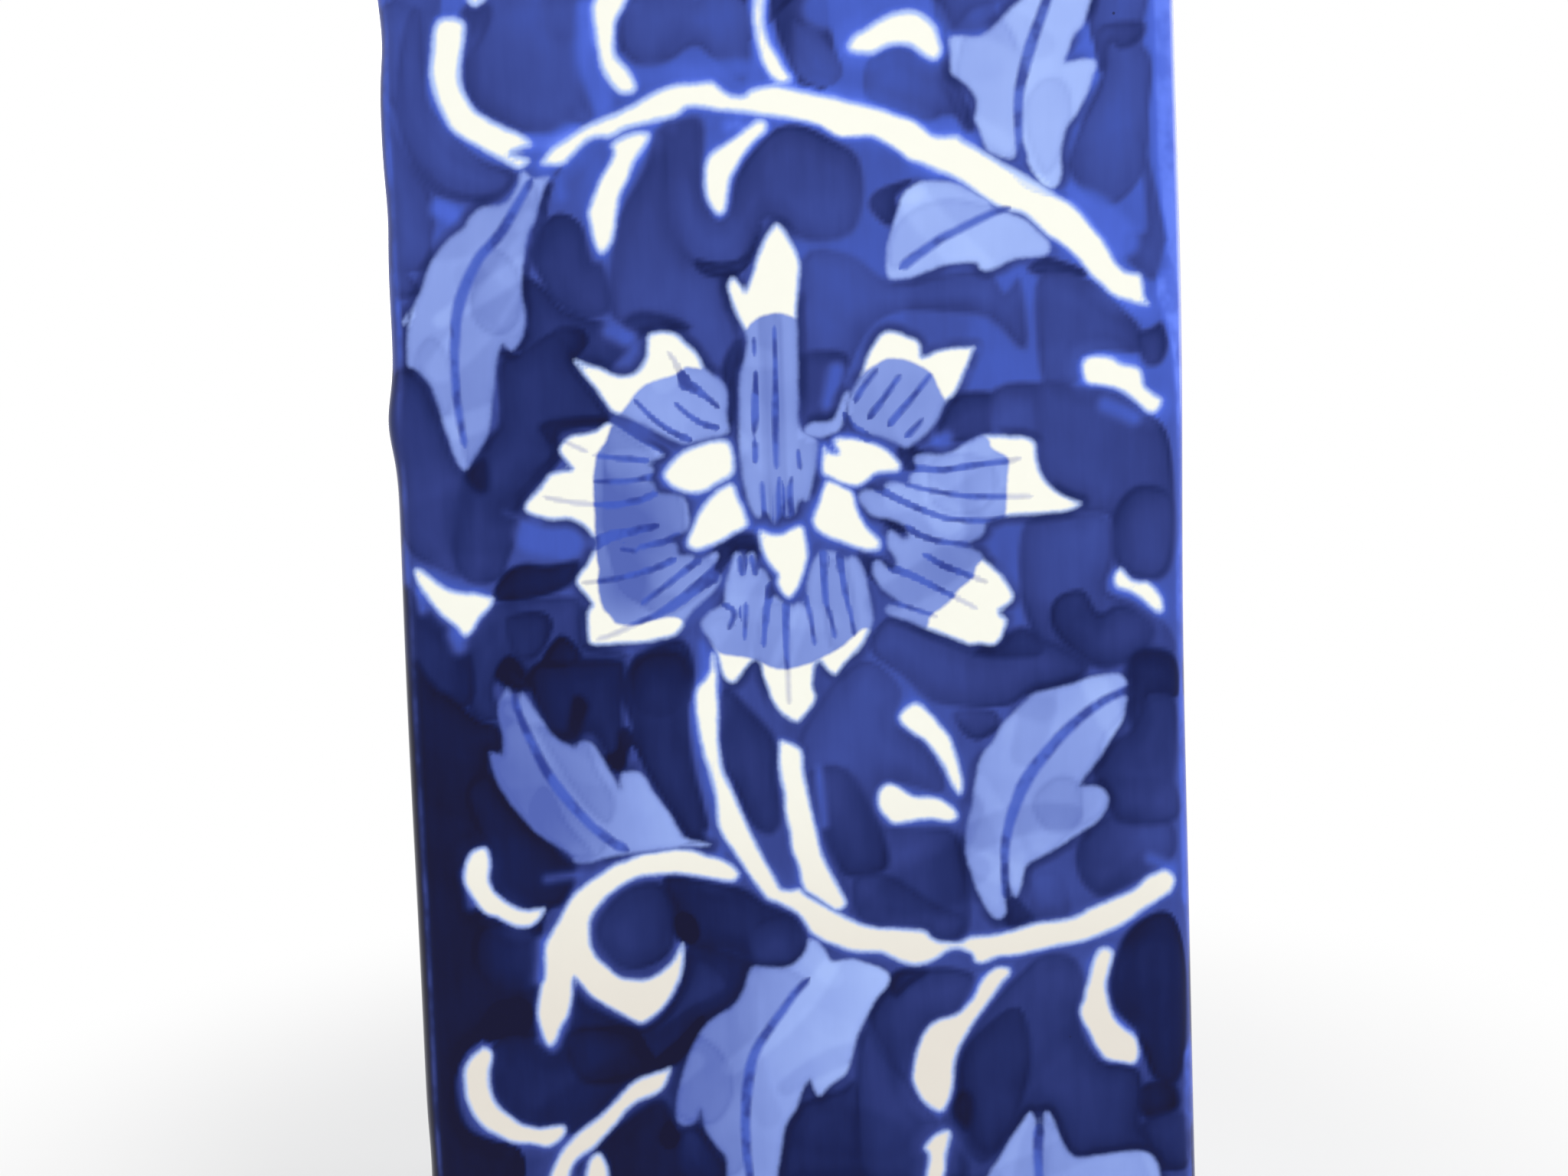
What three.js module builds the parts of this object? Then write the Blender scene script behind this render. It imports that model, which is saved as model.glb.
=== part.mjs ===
// Square porcelain umbrella stand, built from flat slabs of clay and glazed inside and out.
// Millimetres, +Z up. The origin is on the floor under the middle of the stand, and the front faces -Y.
//
// Four walls, mitred where they meet, stand on a floor slab. A coil of clay fills every inside seam,
// four strips under the floor make the foot, and four strips on the walls make the rim.

import * as THREE from 'three';
import { ConvexGeometry } from 'three/addons/geometries/ConvexGeometry.js';
import { toCreasedNormals } from 'three/addons/utils/BufferGeometryUtils.js';

// Body
const bodyWidth = 200;         // outside, across the flats
const totalHeight = 470;       // floor to the top of the rim
const wallThickness = 9;
const outerCornerRadius = 7;   // the upright outside corners
const floorThickness = 10;

// Coils in the inside seams
const coilLeg = 8;             // how far a coil reaches out over each of the two faces it joins

// Foot
const footHeight = 10;
const footWidth = 14;
const footInset = 6;           // from the body's outer face in to the foot's
const footCornerRadius = 4;    // the foot's upright outside corners
const footChamfer = 2;         // along the foot's lower outer edge

// Rim
const rimHeight = 14;
const rimOverhang = 4;         // how far the rim stands out from the walls
const rimOuterRound = 4;       // radius along the rim's upper outer edge
const rimInnerRound = 3;       // radius along the rim's upper inner edge

// Facets
const cornerSteps = 8;         // along half of an upright corner
const roundSteps = 6;          // along a rounded edge of the rim
const creaseAngle = 0.6;       // radians; sharper edges than this stay crisp when shaded

// Levels and half widths that follow from them
const bodyHalf = bodyWidth / 2;
const innerHalf = bodyHalf - wallThickness;
const footHalf = bodyHalf - footInset;
const rimHalf = bodyHalf + rimOverhang;
const floorTop = footHeight + floorThickness;
const rimBottom = totalHeight - rimHeight;

const sides = ['front', 'right', 'back', 'left'];
const corners = ['front_left', 'front_right', 'back_right', 'back_left'];
const quarterTurn = Math.PI / 2;

const stand = new THREE.Group();

function addPiece(name, geometry, material, turns = 0) {
  const piece = new THREE.Mesh(geometry, material);
  piece.name = name;
  piece.rotation.z = turns * quarterTurn;
  stand.add(piece);
}

// Materials

function paintedGlaze() {
  return new THREE.MeshStandardMaterial({ color: 0x26367c, roughness: 0.12, metalness: 0 });
}

function whiteGlaze() {
  return new THREE.MeshStandardMaterial({ color: 0xeeefe9, roughness: 0.15, metalness: 0 });
}

function bareClay() {
  return new THREE.MeshStandardMaterial({ color: 0xd9cfbd, roughness: 0.75, metalness: 0 });
}

// One side of a square ring, from the mitre on its left to the mitre on its right, along the -Y face.
// The profile is a closed convex outline of { half, corner, z } points, anticlockwise with half to the
// right and z up: half is the half width there, and corner the radius of the upright corners.
function mitredStrip(profile) {
  const positions = [];
  const faces = [];
  const stations = 2 * (cornerSteps + 1);

  for (let station = 0; station < stations; station += 1) {
    const onLeft = station <= cornerSteps;
    const step = onLeft ? station : station - 1;
    const angle = -3 * Math.PI / 4 + (step * Math.PI) / (4 * cornerSteps);
    for (const { half, corner, z } of profile) {
      const centre = half - corner;
      const centreX = onLeft ? -centre : centre;
      positions.push(centreX + corner * Math.cos(angle), -centre + corner * Math.sin(angle), z);
    }
  }

  const position = new THREE.Float32BufferAttribute(positions, 3);
  const pointAt = (index) => new THREE.Vector3().fromBufferAttribute(position, index);

  // Where a corner is sharp, its stations share one point and the faces between them vanish.
  function addFace(...indices) {
    const [a, b, c] = indices.map(pointAt);
    if (!a.equals(b) && !b.equals(c) && !c.equals(a)) {
      faces.push(...indices);
    }
  }

  const count = profile.length;
  for (let station = 0; station < stations - 1; station += 1) {
    for (let i = 0; i < count; i += 1) {
      const here = station * count + i;
      const above = station * count + (i + 1) % count;
      addFace(here, here + count, above + count);
      addFace(here, above + count, above);
    }
  }

  const lastRing = (stations - 1) * count;
  const outline = profile.map(({ half, z }) => new THREE.Vector2(half, z));
  for (const [a, b, c] of THREE.ShapeUtils.triangulateShape(outline, [])) {
    addFace(a, b, c);
    addFace(lastRing + c, lastRing + b, lastRing + a);
  }

  const geometry = new THREE.BufferGeometry();
  geometry.setAttribute('position', position);
  geometry.setIndex(faces);
  return toCreasedNormals(geometry, creaseAngle);
}

// A point on the outside of the walls or the rim. All of them share the body's corner centres.
function outsidePoint(half, z) {
  return { half, corner: outerCornerRadius + half - bodyHalf, z };
}

function insidePoint(half, z) {
  return { half, corner: 0, z };
}

// Points along a quarter circle in a profile, from one angle to the next a quarter turn on.
function quarterRound(makePoint, centreHalf, centreZ, radius, startAngle) {
  const points = [];
  for (let step = 0; step <= roundSteps; step += 1) {
    const angle = startAngle + (step / roundSteps) * quarterTurn;
    points.push(makePoint(centreHalf + radius * Math.cos(angle), centreZ + radius * Math.sin(angle)));
  }
  return points;
}

// Walls: flat slabs with half of each rounded corner at their ends

function wallProfile() {
  return [
    insidePoint(innerHalf, floorTop),
    outsidePoint(bodyHalf, floorTop),
    outsidePoint(bodyHalf, rimBottom),
    insidePoint(innerHalf, rimBottom),
  ];
}

sides.forEach((side, turns) => {
  addPiece(`${side}_wall`, mitredStrip(wallProfile()), paintedGlaze(), turns);
});

// Rim: strips that sweep out from the walls, with a rounded top

function rimProfile() {
  const outerCentre = rimHalf - rimOuterRound;
  const innerCentre = innerHalf + rimInnerRound;
  return [
    insidePoint(innerHalf, rimBottom),
    outsidePoint(bodyHalf, rimBottom),
    outsidePoint(rimHalf, rimBottom + rimOverhang),
    ...quarterRound(outsidePoint, outerCentre, totalHeight - rimOuterRound, rimOuterRound, 0),
    ...quarterRound(insidePoint, innerCentre, totalHeight - rimInnerRound, rimInnerRound, quarterTurn),
  ];
}

sides.forEach((side, turns) => {
  addPiece(`${side}_rim`, mitredStrip(rimProfile()), whiteGlaze(), turns);
});

// Floor: one slab under all four walls

function floorGeometry() {
  const straight = bodyHalf - outerCornerRadius;
  const outline = new THREE.Shape();
  outline.absarc(straight, -straight, outerCornerRadius, -quarterTurn, 0);
  outline.absarc(straight, straight, outerCornerRadius, 0, quarterTurn);
  outline.absarc(-straight, straight, outerCornerRadius, quarterTurn, 2 * quarterTurn);
  outline.absarc(-straight, -straight, outerCornerRadius, 2 * quarterTurn, 3 * quarterTurn);
  const slab = new THREE.ExtrudeGeometry(outline, {
    depth: floorThickness,
    bevelEnabled: false,
    curveSegments: 2 * cornerSteps,
  });
  slab.translate(0, 0, footHeight);
  return slab;
}

addPiece('floor_slab', floorGeometry(), whiteGlaze());

// Foot: strips set in under the floor, left unglazed

function footProfile() {
  return [
    insidePoint(footHalf - footWidth, 0),
    { half: footHalf - footChamfer, corner: footCornerRadius - footChamfer, z: 0 },
    { half: footHalf, corner: footCornerRadius, z: footChamfer },
    { half: footHalf, corner: footCornerRadius, z: footHeight },
    insidePoint(footHalf - footWidth, footHeight),
  ];
}

sides.forEach((side, turns) => {
  addPiece(`${side}_foot`, mitredStrip(footProfile()), bareClay(), turns);
});

// Coils in the upright inside corners, from the floor to the rim

function cornerCoilGeometry() {
  const outline = new THREE.Shape([
    new THREE.Vector2(0, 0),
    new THREE.Vector2(coilLeg, 0),
    new THREE.Vector2(0, coilLeg),
  ]);
  const coil = new THREE.ExtrudeGeometry(outline, { depth: rimBottom - floorTop, bevelEnabled: false });
  coil.translate(-innerHalf, -innerHalf, floorTop);
  return coil;
}

corners.forEach((corner, turns) => {
  addPiece(`${corner}_coil`, cornerCoilGeometry(), whiteGlaze(), turns);
});

// Coils along the foot of each wall. Each end is cut twice: against the corner coil, then on the
// diagonal where it meets the next floor coil.

function floorCoilGeometry() {
  const middle = coilLeg / 2;
  const points = [];
  for (const end of [-1, 1]) {
    const short = end * (innerHalf - coilLeg);
    const long = end * (innerHalf - middle);
    points.push(
      new THREE.Vector3(short, 0, 0),
      new THREE.Vector3(short, 0, coilLeg),
      new THREE.Vector3(long, middle, 0),
      new THREE.Vector3(long, middle, middle),
      new THREE.Vector3(short, coilLeg, 0),
    );
  }
  const coil = new ConvexGeometry(points);
  coil.translate(0, -innerHalf, floorTop);
  return coil;
}

sides.forEach((side, turns) => {
  addPiece(`${side}_floor_coil`, floorCoilGeometry(), whiteGlaze(), turns);
});

export default stand;
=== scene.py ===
from math import cos, pi, radians, sin

import bmesh
import bpy
import numpy as np
from mathutils import Matrix, Vector


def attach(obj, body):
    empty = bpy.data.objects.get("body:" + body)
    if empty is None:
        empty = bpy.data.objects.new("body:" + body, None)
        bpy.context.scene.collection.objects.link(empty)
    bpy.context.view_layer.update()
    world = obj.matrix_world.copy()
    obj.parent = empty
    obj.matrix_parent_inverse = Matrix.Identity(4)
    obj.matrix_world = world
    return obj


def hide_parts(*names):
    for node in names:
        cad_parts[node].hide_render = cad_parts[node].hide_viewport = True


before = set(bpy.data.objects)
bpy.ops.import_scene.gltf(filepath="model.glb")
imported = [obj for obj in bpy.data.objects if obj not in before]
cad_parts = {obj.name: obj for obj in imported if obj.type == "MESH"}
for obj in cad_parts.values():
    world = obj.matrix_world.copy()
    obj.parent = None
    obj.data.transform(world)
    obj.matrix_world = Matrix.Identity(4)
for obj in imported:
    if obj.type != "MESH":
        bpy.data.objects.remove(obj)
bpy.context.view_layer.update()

# Square porcelain umbrella stand, painted in cobalt under a clear glaze. Metres, front towards -Y.
mm = 0.001
view = bpy.context.scene.view_settings
view.view_transform = 'Standard'

# Camera and studio
studio = {
    'cameraPlace': (-0.00225, -0.3949, 0.2538),
    'cameraPitch': -2.45,           # degrees, down
    'cameraRoll': -1.96,
    'lens': 27.03,
    'sensor': 36,                   # mm wide
    'floorSize': 12.0,
    'floorColour': (0.84, 0.84, 0.83, 1),
    'floorWhite': 0.52,             # how much of the floor's look is plain white next to the stand
    'floorNear': 0.2,               # metres from the stand where it starts to turn all white
    'floorFar': 0.48,
    'floorRoughness': 0.7,
    'floorShade': 0.985,            # its darker patches, next to its colour
    'floorPatch': 180,              # mm
    'worldLight': 0.30,             # what the white surroundings give to matt surfaces
    'lamps': [                      # name, place, aimed at, size, watts
        ('keyLamp', (1.15, -1.2, 1.55), (0, -0.1, 0.27), 0.9, 26),
        ('fillLamp', (-1.5, -1.3, 0.9), (0, 0, 0.2), 1.4, 12),
        ('backLamp', (-0.7, 1.9, 1.1), (0, 0, 0.25), 1.6, 18),
        ('sideLamp', (1.7, 0.9, 1.1), (0, 0, 0.25), 1.4, 9),
        ('topLamp', (0, 0, 2.2), (0, 0, 0.2), 1.2, 1.2),
    ],
    'noGloss': 'fillLamp',          # it would lie as a grey streak on the left corner
}


def buildStudio(s):
    cam = bpy.data.objects.new('camera', bpy.data.cameras.new('camera'))
    bpy.context.scene.collection.objects.link(cam)
    pitch = Matrix.Rotation(radians(90 + s['cameraPitch']), 4, 'X')
    roll = Matrix.Rotation(radians(s['cameraRoll']), 4, 'Z')
    cam.matrix_world = Matrix.Translation(s['cameraPlace']) @ pitch @ roll
    cam.data.lens = s['lens']
    cam.data.sensor_width = s['sensor']
    cam.data.clip_start = 0.01
    bpy.context.scene.camera = cam
    for name, place, target, size, watts in s['lamps']:
        lamp = bpy.data.objects.new(name, bpy.data.lights.new(name, 'AREA'))
        bpy.context.scene.collection.objects.link(lamp)
        lamp.data.shape = 'DISK'
        lamp.data.size = size
        lamp.data.energy = watts
        lamp.visible_glossy = name != s['noGloss']
        aim = (Vector(target) - Vector(place)).to_track_quat('-Z', 'Y')
        lamp.matrix_world = Matrix.Translation(place) @ aim.to_matrix().to_4x4()
    print('camera and lamps placed')


buildStudio(studio)


# Shader maths: a Wire is a socket that Python's operators work on
class Wire:
    def __init__(self, tree, socket=None):
        self.tree = tree
        self.socket = socket

    def node(self, kind, settings=None, inputs=None, out=0):
        made = self.tree.nodes.new('ShaderNode' + kind)
        for name, value in (settings or {}).items():
            if name != 'stops':
                setattr(made, name, value)
        stops = (settings or {}).get('stops', [])
        for index, (place, colour) in enumerate(stops):
            ramp = made.color_ramp.elements
            stop = ramp[index] if index < 2 else ramp.new(place)
            stop.position = place
            stop.color = (*colour[:3], 1)
        for name, value in (inputs or {}).items():
            if isinstance(value, Wire):
                self.tree.links.new(value.socket, made.inputs[name])
            else:
                made.inputs[name].default_value = value
        return Wire(self.tree, made.outputs[out] if len(made.outputs) else None)

    def maths(self, operation, first, second=0.0):
        return self.node('Math', {'operation': operation}, {0: first, 1: second})

    def __add__(self, other):
        return self.maths('ADD', self, other)

    def __sub__(self, other):
        return self.maths('SUBTRACT', self, other)

    def __mul__(self, other):
        return self.maths('MULTIPLY', self, other)

    def __rsub__(self, other):
        return self.maths('SUBTRACT', other, self)

    __radd__ = __add__
    __rmul__ = __mul__

    def least(self, other):
        return self.maths('MINIMUM', self, other)

    def most(self, other):
        return self.maths('MAXIMUM', self, other)

    def ramp(self, low, high):      # 0 below low, 1 above high, smooth between
        ends = {'From Min': low, 'From Max': high, 'Value': self}
        return self.node('MapRange', {'interpolation_type': 'SMOOTHSTEP'}, ends)

    def mix(self, factor, first, second):
        return self.node('Mix', {'data_type': 'RGBA'}, {0: factor, 6: first, 7: second}, out=2)

    def stored(self, name):         # a number kept on the mesh's points
        return self.node('Attribute', {'attribute_name': name}, out=2)

    def place(self, scale=(1, 1, 1)):
        here = self.node('TexCoord', out=3)
        return self.node('Mapping', None, {'Vector': here, 'Scale': scale})

    def axes(self):
        here = self.node('TexCoord', out=3)
        return [self.node('SeparateXYZ', None, {0: here}, out=axis) for axis in range(3)]

    def noise(self, size, detail=2.0, at=None, rough=0.5):    # size in mm
        at = at or self.place()
        made = {'Vector': at, 'Scale': 1 / (size * mm), 'Detail': detail, 'Roughness': rough}
        return self.node('TexNoise', None, made)

    def bumped(self, height, strength, distance):
        made = {'Strength': strength, 'Distance': distance, 'Height': height}
        return self.node('Bump', None, made)

    def specks(self, spacing, share, radius):   # spacing, radius in mm, share of cells with one
        at = {'Vector': self.place(), 'Scale': 1 / (spacing * mm)}
        near = self.node('TexVoronoi', None, at)
        chosen = self.node('TexVoronoi', None, at, out=1)
        chosen = self.node('SeparateColor', None, {0: chosen})
        dot = 1 - near.ramp(0.6 * radius / spacing, radius / spacing)
        return dot * chosen.ramp(1 - share, 1.001 - share)


def srgb(red, green, blue):         # an sRGB colour, 0 to 255, as the shader's linear one
    out = []
    for value in (red, green, blue):
        value = max(value, 0) / 255
        out.append(value / 12.92 if value <= 0.04045 else ((value + 0.055) / 1.055) ** 2.4)
    return (*out, 1)


def newMaterial(name):
    made = bpy.data.materials.new(name)
    made.use_nodes = True
    made.node_tree.nodes.clear()
    return made, Wire(made.node_tree)


def finishMaterial(made, wire, sockets):
    shader = wire.node('BsdfPrincipled', None, sockets)
    wire.node('OutputMaterial', None, {'Surface': shader})
    return made


def raysThatSeeWhite(wire):
    seen = wire.node('LightPath', out='Is Camera Ray')
    for ray in ('Is Glossy Ray', 'Is Transmission Ray'):
        seen = seen + wire.node('LightPath', out=ray)
    return seen.least(1.0)


def buildSurroundings(s):
    world = bpy.data.worlds.new('surroundings')
    bpy.context.scene.world = world
    world.use_nodes = True
    world.node_tree.nodes.clear()
    wire = Wire(world.node_tree)
    strength = s['worldLight'] + raysThatSeeWhite(wire) * (1 - s['worldLight'])
    sky = wire.node('Background', None, {'Color': (1, 1, 1, 1), 'Strength': strength})
    wire.node('OutputWorld', None, {'Surface': sky})

    bm = bmesh.new()
    bmesh.ops.create_grid(bm, x_segments=8, y_segments=8, size=s['floorSize'] / 2)
    mesh = bpy.data.meshes.new('studio_floor')
    bm.to_mesh(mesh)
    bm.free()
    floor = bpy.data.objects.new('studio_floor', mesh)
    bpy.context.scene.collection.objects.link(floor)
    made, wire = newMaterial('studioFloor')
    patches = wire.noise(s['floorPatch'], 3)
    darker = tuple(s['floorShade'] * value for value in s['floorColour'])
    colour = wire.mix(patches.ramp(0.3, 0.7), s['floorColour'], darker)
    finish = {'Base Color': colour, 'Roughness': s['floorRoughness']}
    matt = wire.node('BsdfPrincipled', None, finish)
    white = wire.node('Emission', None, {'Color': (1, 1, 1, 1), 'Strength': 1.0})
    here = wire.node('TexCoord', out=3)
    away = wire.node('VectorMath', {'operation': 'LENGTH'}, {0: here}, out=1)
    faded = s['floorWhite'] + away.ramp(s['floorNear'], s['floorFar']) * (1 - s['floorWhite'])
    faded = faded * raysThatSeeWhite(wire)
    surface = wire.node('MixShader', None, {0: faded, 1: matt, 2: white})
    wire.node('OutputMaterial', None, {'Surface': surface})
    mesh.materials.append(made)
    print('floor and surroundings made')


buildSurroundings(studio)


# The painting. Every outline is a list of x, z pairs in mm: x from the middle of
# the face, z from a line 238 mm above the table. A smooth curve goes through the points.
whites = {                          # left bare, so that the body shows through the glaze
    'hookLeft': [
        -85, 147.8, -86.5, 140, -86.8, 135, -86, 130, -84, 125, -82, 121.5, -79, 119, -75, 116.5,
        -70, 113.5, -66, 111.3, -64.5, 111.5, -62.8, 113, -64, 114, -67, 115, -65, 116, -62, 117,
        -64, 119.5, -70, 122.5, -75, 125.5, -78, 130, -79, 135, -78.5, 140, -77.5, 145, -77.5, 148,
        -81, 149.3],
    'hookMiddle': [
        -45.3, 151, -45.3, 148, -45, 145, -44.5, 140, -43.8, 135, -42, 131.5, -40, 129.2,
        -38, 128.6, -35.5, 129, -35, 131, -37, 135, -39.5, 138, -40, 141, -39.5, 146, -37.5, 150,
        -34.5, 156, -32.5, 162, -33, 169, -36.5, 176, -43, 181, -50, 182, -51, 179.5, -46, 177,
        -41.5, 172, -39.5, 166, -41, 159, -44, 154],
    'hookRight': [
        -4.9, 152, -5.3, 146, -4.5, 140, -3.3, 135.5, -1, 131.5, 1.5, 129.8, 4, 131, 2.5, 133.5,
        0.5, 137, -1.5, 141, -2.3, 146, -1.6, 153, 0.5, 161, 4.5, 168, 10.5, 173.5, 18, 176.5,
        18.5, 179, 13, 180, 6, 177, 0, 171, -3.5, 163],
    'archLeaf': [
        18.2, 139, 19, 137.2, 22, 136.5, 25, 136.5, 28, 138, 31, 138.5, 34, 138, 37, 136,
        39.5, 134.6, 41, 135, 42, 137, 41.5, 140, 40.5, 143, 38, 145.5, 35, 147, 31, 147, 27, 145.5,
        23, 143, 20, 141.5],
    'archStem': [
        -59.5, 112, -59, 113.5, -57, 116, -53, 118.5, -49, 121, -44, 123, -38, 125.3, -30, 129.3,
        -25, 130.7, -20, 131, -16, 131, -14.5, 130, -12.5, 128.3, -10.5, 127.5, -8, 127.6, -6, 129,
        0, 129.7, 5, 128.6, 10, 127.3, 15, 126, 20, 124.7, 25, 123.3, 30, 121.5, 34, 120, 37, 117.8,
        40, 115.8, 45, 115.8, 47, 114.5, 50, 112.7, 56, 108.7, 60, 106.3, 65, 103.3, 68, 101,
        72, 98.5, 76, 95, 79, 91, 81, 88.5, 83, 85, 84.5, 82.5, 87, 80.3, 90, 79.7, 91, 78,
        91.3, 74, 92.5, 71.7, 90, 72, 87, 73, 84, 74, 81, 76.5, 78, 79.5, 76, 82, 73, 85.5, 70, 88,
        67, 90, 64, 93, 61, 95.5, 56, 96.7, 53, 98.5, 50, 100.7, 45, 104.5, 40, 106.8, 36, 109,
        33, 110, 30, 112.3, 26, 115, 23, 116.3, 16, 116.3, 12, 118.3, 10, 119.5, 5, 120.7, 0, 121.6,
        -4, 122.2, -8, 123, -14, 123.7, -22, 125, -25, 122.8, -32, 121.2, -38, 119.8, -42, 118,
        -46, 118, -49, 116.5, -52, 113.5, -54.5, 111.8],
    'commaLeft': [
        -42, 116.5, -38, 119, -34, 119.5, -32, 118.5, -33, 116, -36, 112, -38, 108, -40, 104,
        -41, 100, -42, 95, -43, 92, -45.5, 89.2, -47.5, 92, -48.3, 97, -48.5, 100, -47, 104,
        -45, 108, -42.5, 112, -41.5, 114.5],
    'commaMiddle': [
        -2.5, 119.5, -3, 121, -5, 121.3, -7, 120, -10, 117.8, -14, 115.5, -17, 113.5, -18.5, 111,
        -19, 107, -18.8, 103, -17.5, 100, -16, 98.2, -14.5, 98.2, -13.5, 99.5, -13, 103, -12, 107,
        -10, 110.5, -7.5, 114, -5, 116.5, -3, 118],
    'commaUpperRight': [
        75.2, 58, 76.5, 59.3, 80, 59.5, 83, 58.7, 85.5, 57, 89, 56.3, 90.5, 54.5, 91, 51.5,
        93, 49.5, 95, 48, 94.8, 46, 93, 44.5, 91, 45, 89, 47, 86, 49.5, 83, 51, 79, 52, 76.5, 52.5,
        75.2, 55],
    'commaRight': [
        84, 5.3, 82.3, 4, 82, 2, 83, 0.3, 86, -0.8, 89, -2.8, 91.5, -5.2, 93.5, -6.5, 94.8, -5.5,
        94.5, -3, 93, -0.5, 91, 1.5, 88, 2, 86, 3],
    'commaFarLeft': [
        -97, 11, -95.5, 11.5, -94, 10.5, -91.5, 8.5, -88, 6, -84.5, 5, -82, 5, -79, 4, -76.8, 3,
        -78, 0.5, -80, -1.5, -82, -4.5, -84, -6.5, -85.3, -6, -86.5, -4, -90, -1, -93, 2.5,
        -95.5, 6.5, -97, 9.5],
    'arcLeft': [
        -84.5, -61.7, -82, -61, -80.8, -62.5, -80.5, -66, -81, -69.5, -80, -72.5, -77.5, -75,
        -74.5, -77, -71.5, -77.8, -68, -77.5, -67, -77.7, -68, -79.8, -70, -81.8, -73, -82.3,
        -76, -81.5, -79.5, -79.5, -82, -78.5, -84.5, -76, -86.5, -72.5, -87.5, -69.5, -87.3, -66,
        -86, -63],
    'arcLowerLeft': [
        -86, -114.5, -84.5, -113.3, -82.5, -114.5, -82.2, -116.5, -83, -120, -83, -124, -82, -127.5,
        -80, -130.3, -77.5, -132.5, -75, -134.3, -71, -135.3, -67, -135, -64.5, -135, -64, -136.5,
        -66, -139, -69, -140.5, -73, -139.5, -78, -139, -82, -137, -85.5, -134.5, -88, -131,
        -89.5, -127, -90, -122, -89.5, -118.5, -88, -116],
    'crookRight': [
        26, -31, 27.5, -28.8, 30, -27.3, 32, -27.8, 34, -30, 36.5, -33, 39, -36.5, 40.5, -40.5,
        41.7, -45, 42.2, -49, 41.5, -51.5, 40.3, -51, 38.7, -48, 37, -44, 34.5, -40, 32, -37,
        30, -35.8, 27.5, -33.5],
    'barRight': [
        20, -52.5, 20.5, -50, 22.5, -48.3, 25, -48.8, 27.5, -50.5, 30, -51.7, 33, -51.8, 36, -52.5,
        39, -54.5, 40.5, -56.5, 40, -58.3, 37, -58.5, 33, -57.8, 28, -58.3, 24, -58.5, 21.5, -56.5,
        20.2, -54.5],
    'tearLowerRight': [
        53, -98.5, 52.5, -97.5, 50, -97.3, 47, -99, 45, -101.5, 43.5, -104.5, 41, -107.5,
        38, -109.5, 34, -110.5, 31.5, -112, 29.5, -115, 28, -119, 27, -123, 27, -127, 28.5, -130.5,
        30.5, -133, 33, -134.8, 35, -134.5, 36.5, -131.5, 37.5, -127.5, 38, -122.5, 39.5, -118,
        42, -113.5, 45, -109.5, 48, -105.5, 51, -101.5, 53, -99.5],
    'bendLowerRight': [
        75.5, -94.5, 77, -93, 79, -93.3, 80, -95, 79, -99, 78, -103, 78.5, -107.5, 80, -111.5,
        82.5, -114.5, 85, -116.5, 86, -119.5, 85.7, -122.5, 84.3, -124, 82, -123.5, 78, -122.8,
        76, -121, 74.5, -118.5, 73, -115, 71.5, -112, 71, -109, 72, -106.5, 73, -102, 74, -98],
    'mainStem': [
        -21.5, -13, -22, -17, -23.5, -19.5, -25, -20.8, -26, -23, -26.3, -27, -25.7, -32, -25, -37,
        -23.7, -42, -22.5, -47, -21.7, -52, -21.5, -57, -20.5, -60, -18, -64, -15, -68.5, -13, -72,
        -11, -75, -9.5, -77, -6, -78.5, -3, -80.3, -1, -82, 1.3, -86, 4, -88, 7, -89.5, 10, -91,
        13, -91.8, 19, -92.2, 22, -93.5, 25, -95, 28, -96, 31, -95.7, 34, -94.5, 37, -92.5,
        40, -92.3, 43, -93.5, 44, -95.5, 46, -96, 50, -94.7, 55, -94.3, 60, -93.5, 66, -92.3,
        70, -91.7, 75, -90.5, 80, -88.5, 84, -86.3, 88, -83.5, 92, -81, 95, -79, 96.5, -76.5,
        96, -74.5, 94, -73, 92, -73.3, 89, -74.8, 86, -77.5, 82, -79.5, 78, -81, 74, -82.5,
        70, -84.7, 65, -85.5, 60, -86, 55, -87.3, 50, -88.5, 43, -89, 40, -90.2, 36, -90, 33, -89,
        31, -87, 25, -86, 20, -85.8, 15, -84.5, 12, -83, 9, -81.3, 6, -79.5, 3, -77.7, 0.5, -76,
        -1, -74.7, -3, -75, -5.5, -74.5, -7, -72, -9, -68, -11.5, -63, -13.5, -58, -15.5, -53,
        -17.5, -48, -19.5, -43, -20.5, -35, -20.3, -30, -20.3, -15],
    'secondStem': [
        -4, -36, -5, -37, -5.3, -42, -5, -46, -4.2, -50, -4, -55, -3, -60, -2.3, -65, -1, -69,
        -0.3, -73, 0.5, -75.2, 2.2, -76.5, 4.4, -78, 8, -80.7, 10.5, -80, 11, -78.5, 10, -76,
        8.5, -73, 6.5, -69, 5, -65, 4, -60, 3, -55, 2.2, -50, 1.3, -45, 1, -40, 0, -38],
    'curl': [
        -16.3, -70.5, -17, -69, -19, -67.3, -21.5, -66, -25, -65, -29, -63.5, -33, -63.3, -38, -64,
        -42, -64.5, -46, -66, -49, -67, -52, -69, -55, -70.8, -57.5, -72.5, -60, -75, -62, -78,
        -64, -81.5, -66, -84.5, -67.5, -88, -67.7, -95, -69, -98, -69.8, -102, -70, -106,
        -69.3, -110, -68.3, -113, -67, -114, -65.5, -112.5, -64, -109, -62, -105.5, -60.8, -101,
        -60.5, -97, -60, -96, -60, -96, -58.5, -98, -56, -101, -53, -103, -50, -105, -47, -107,
        -44, -108.5, -42, -108.3, -39, -106, -36, -103, -34, -100, -32.3, -96, -31.5, -92,
        -31.5, -88.5, -32, -88, -33.3, -90.5, -35.5, -93.5, -38.5, -95.8, -41.5, -97, -45, -97,
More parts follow.
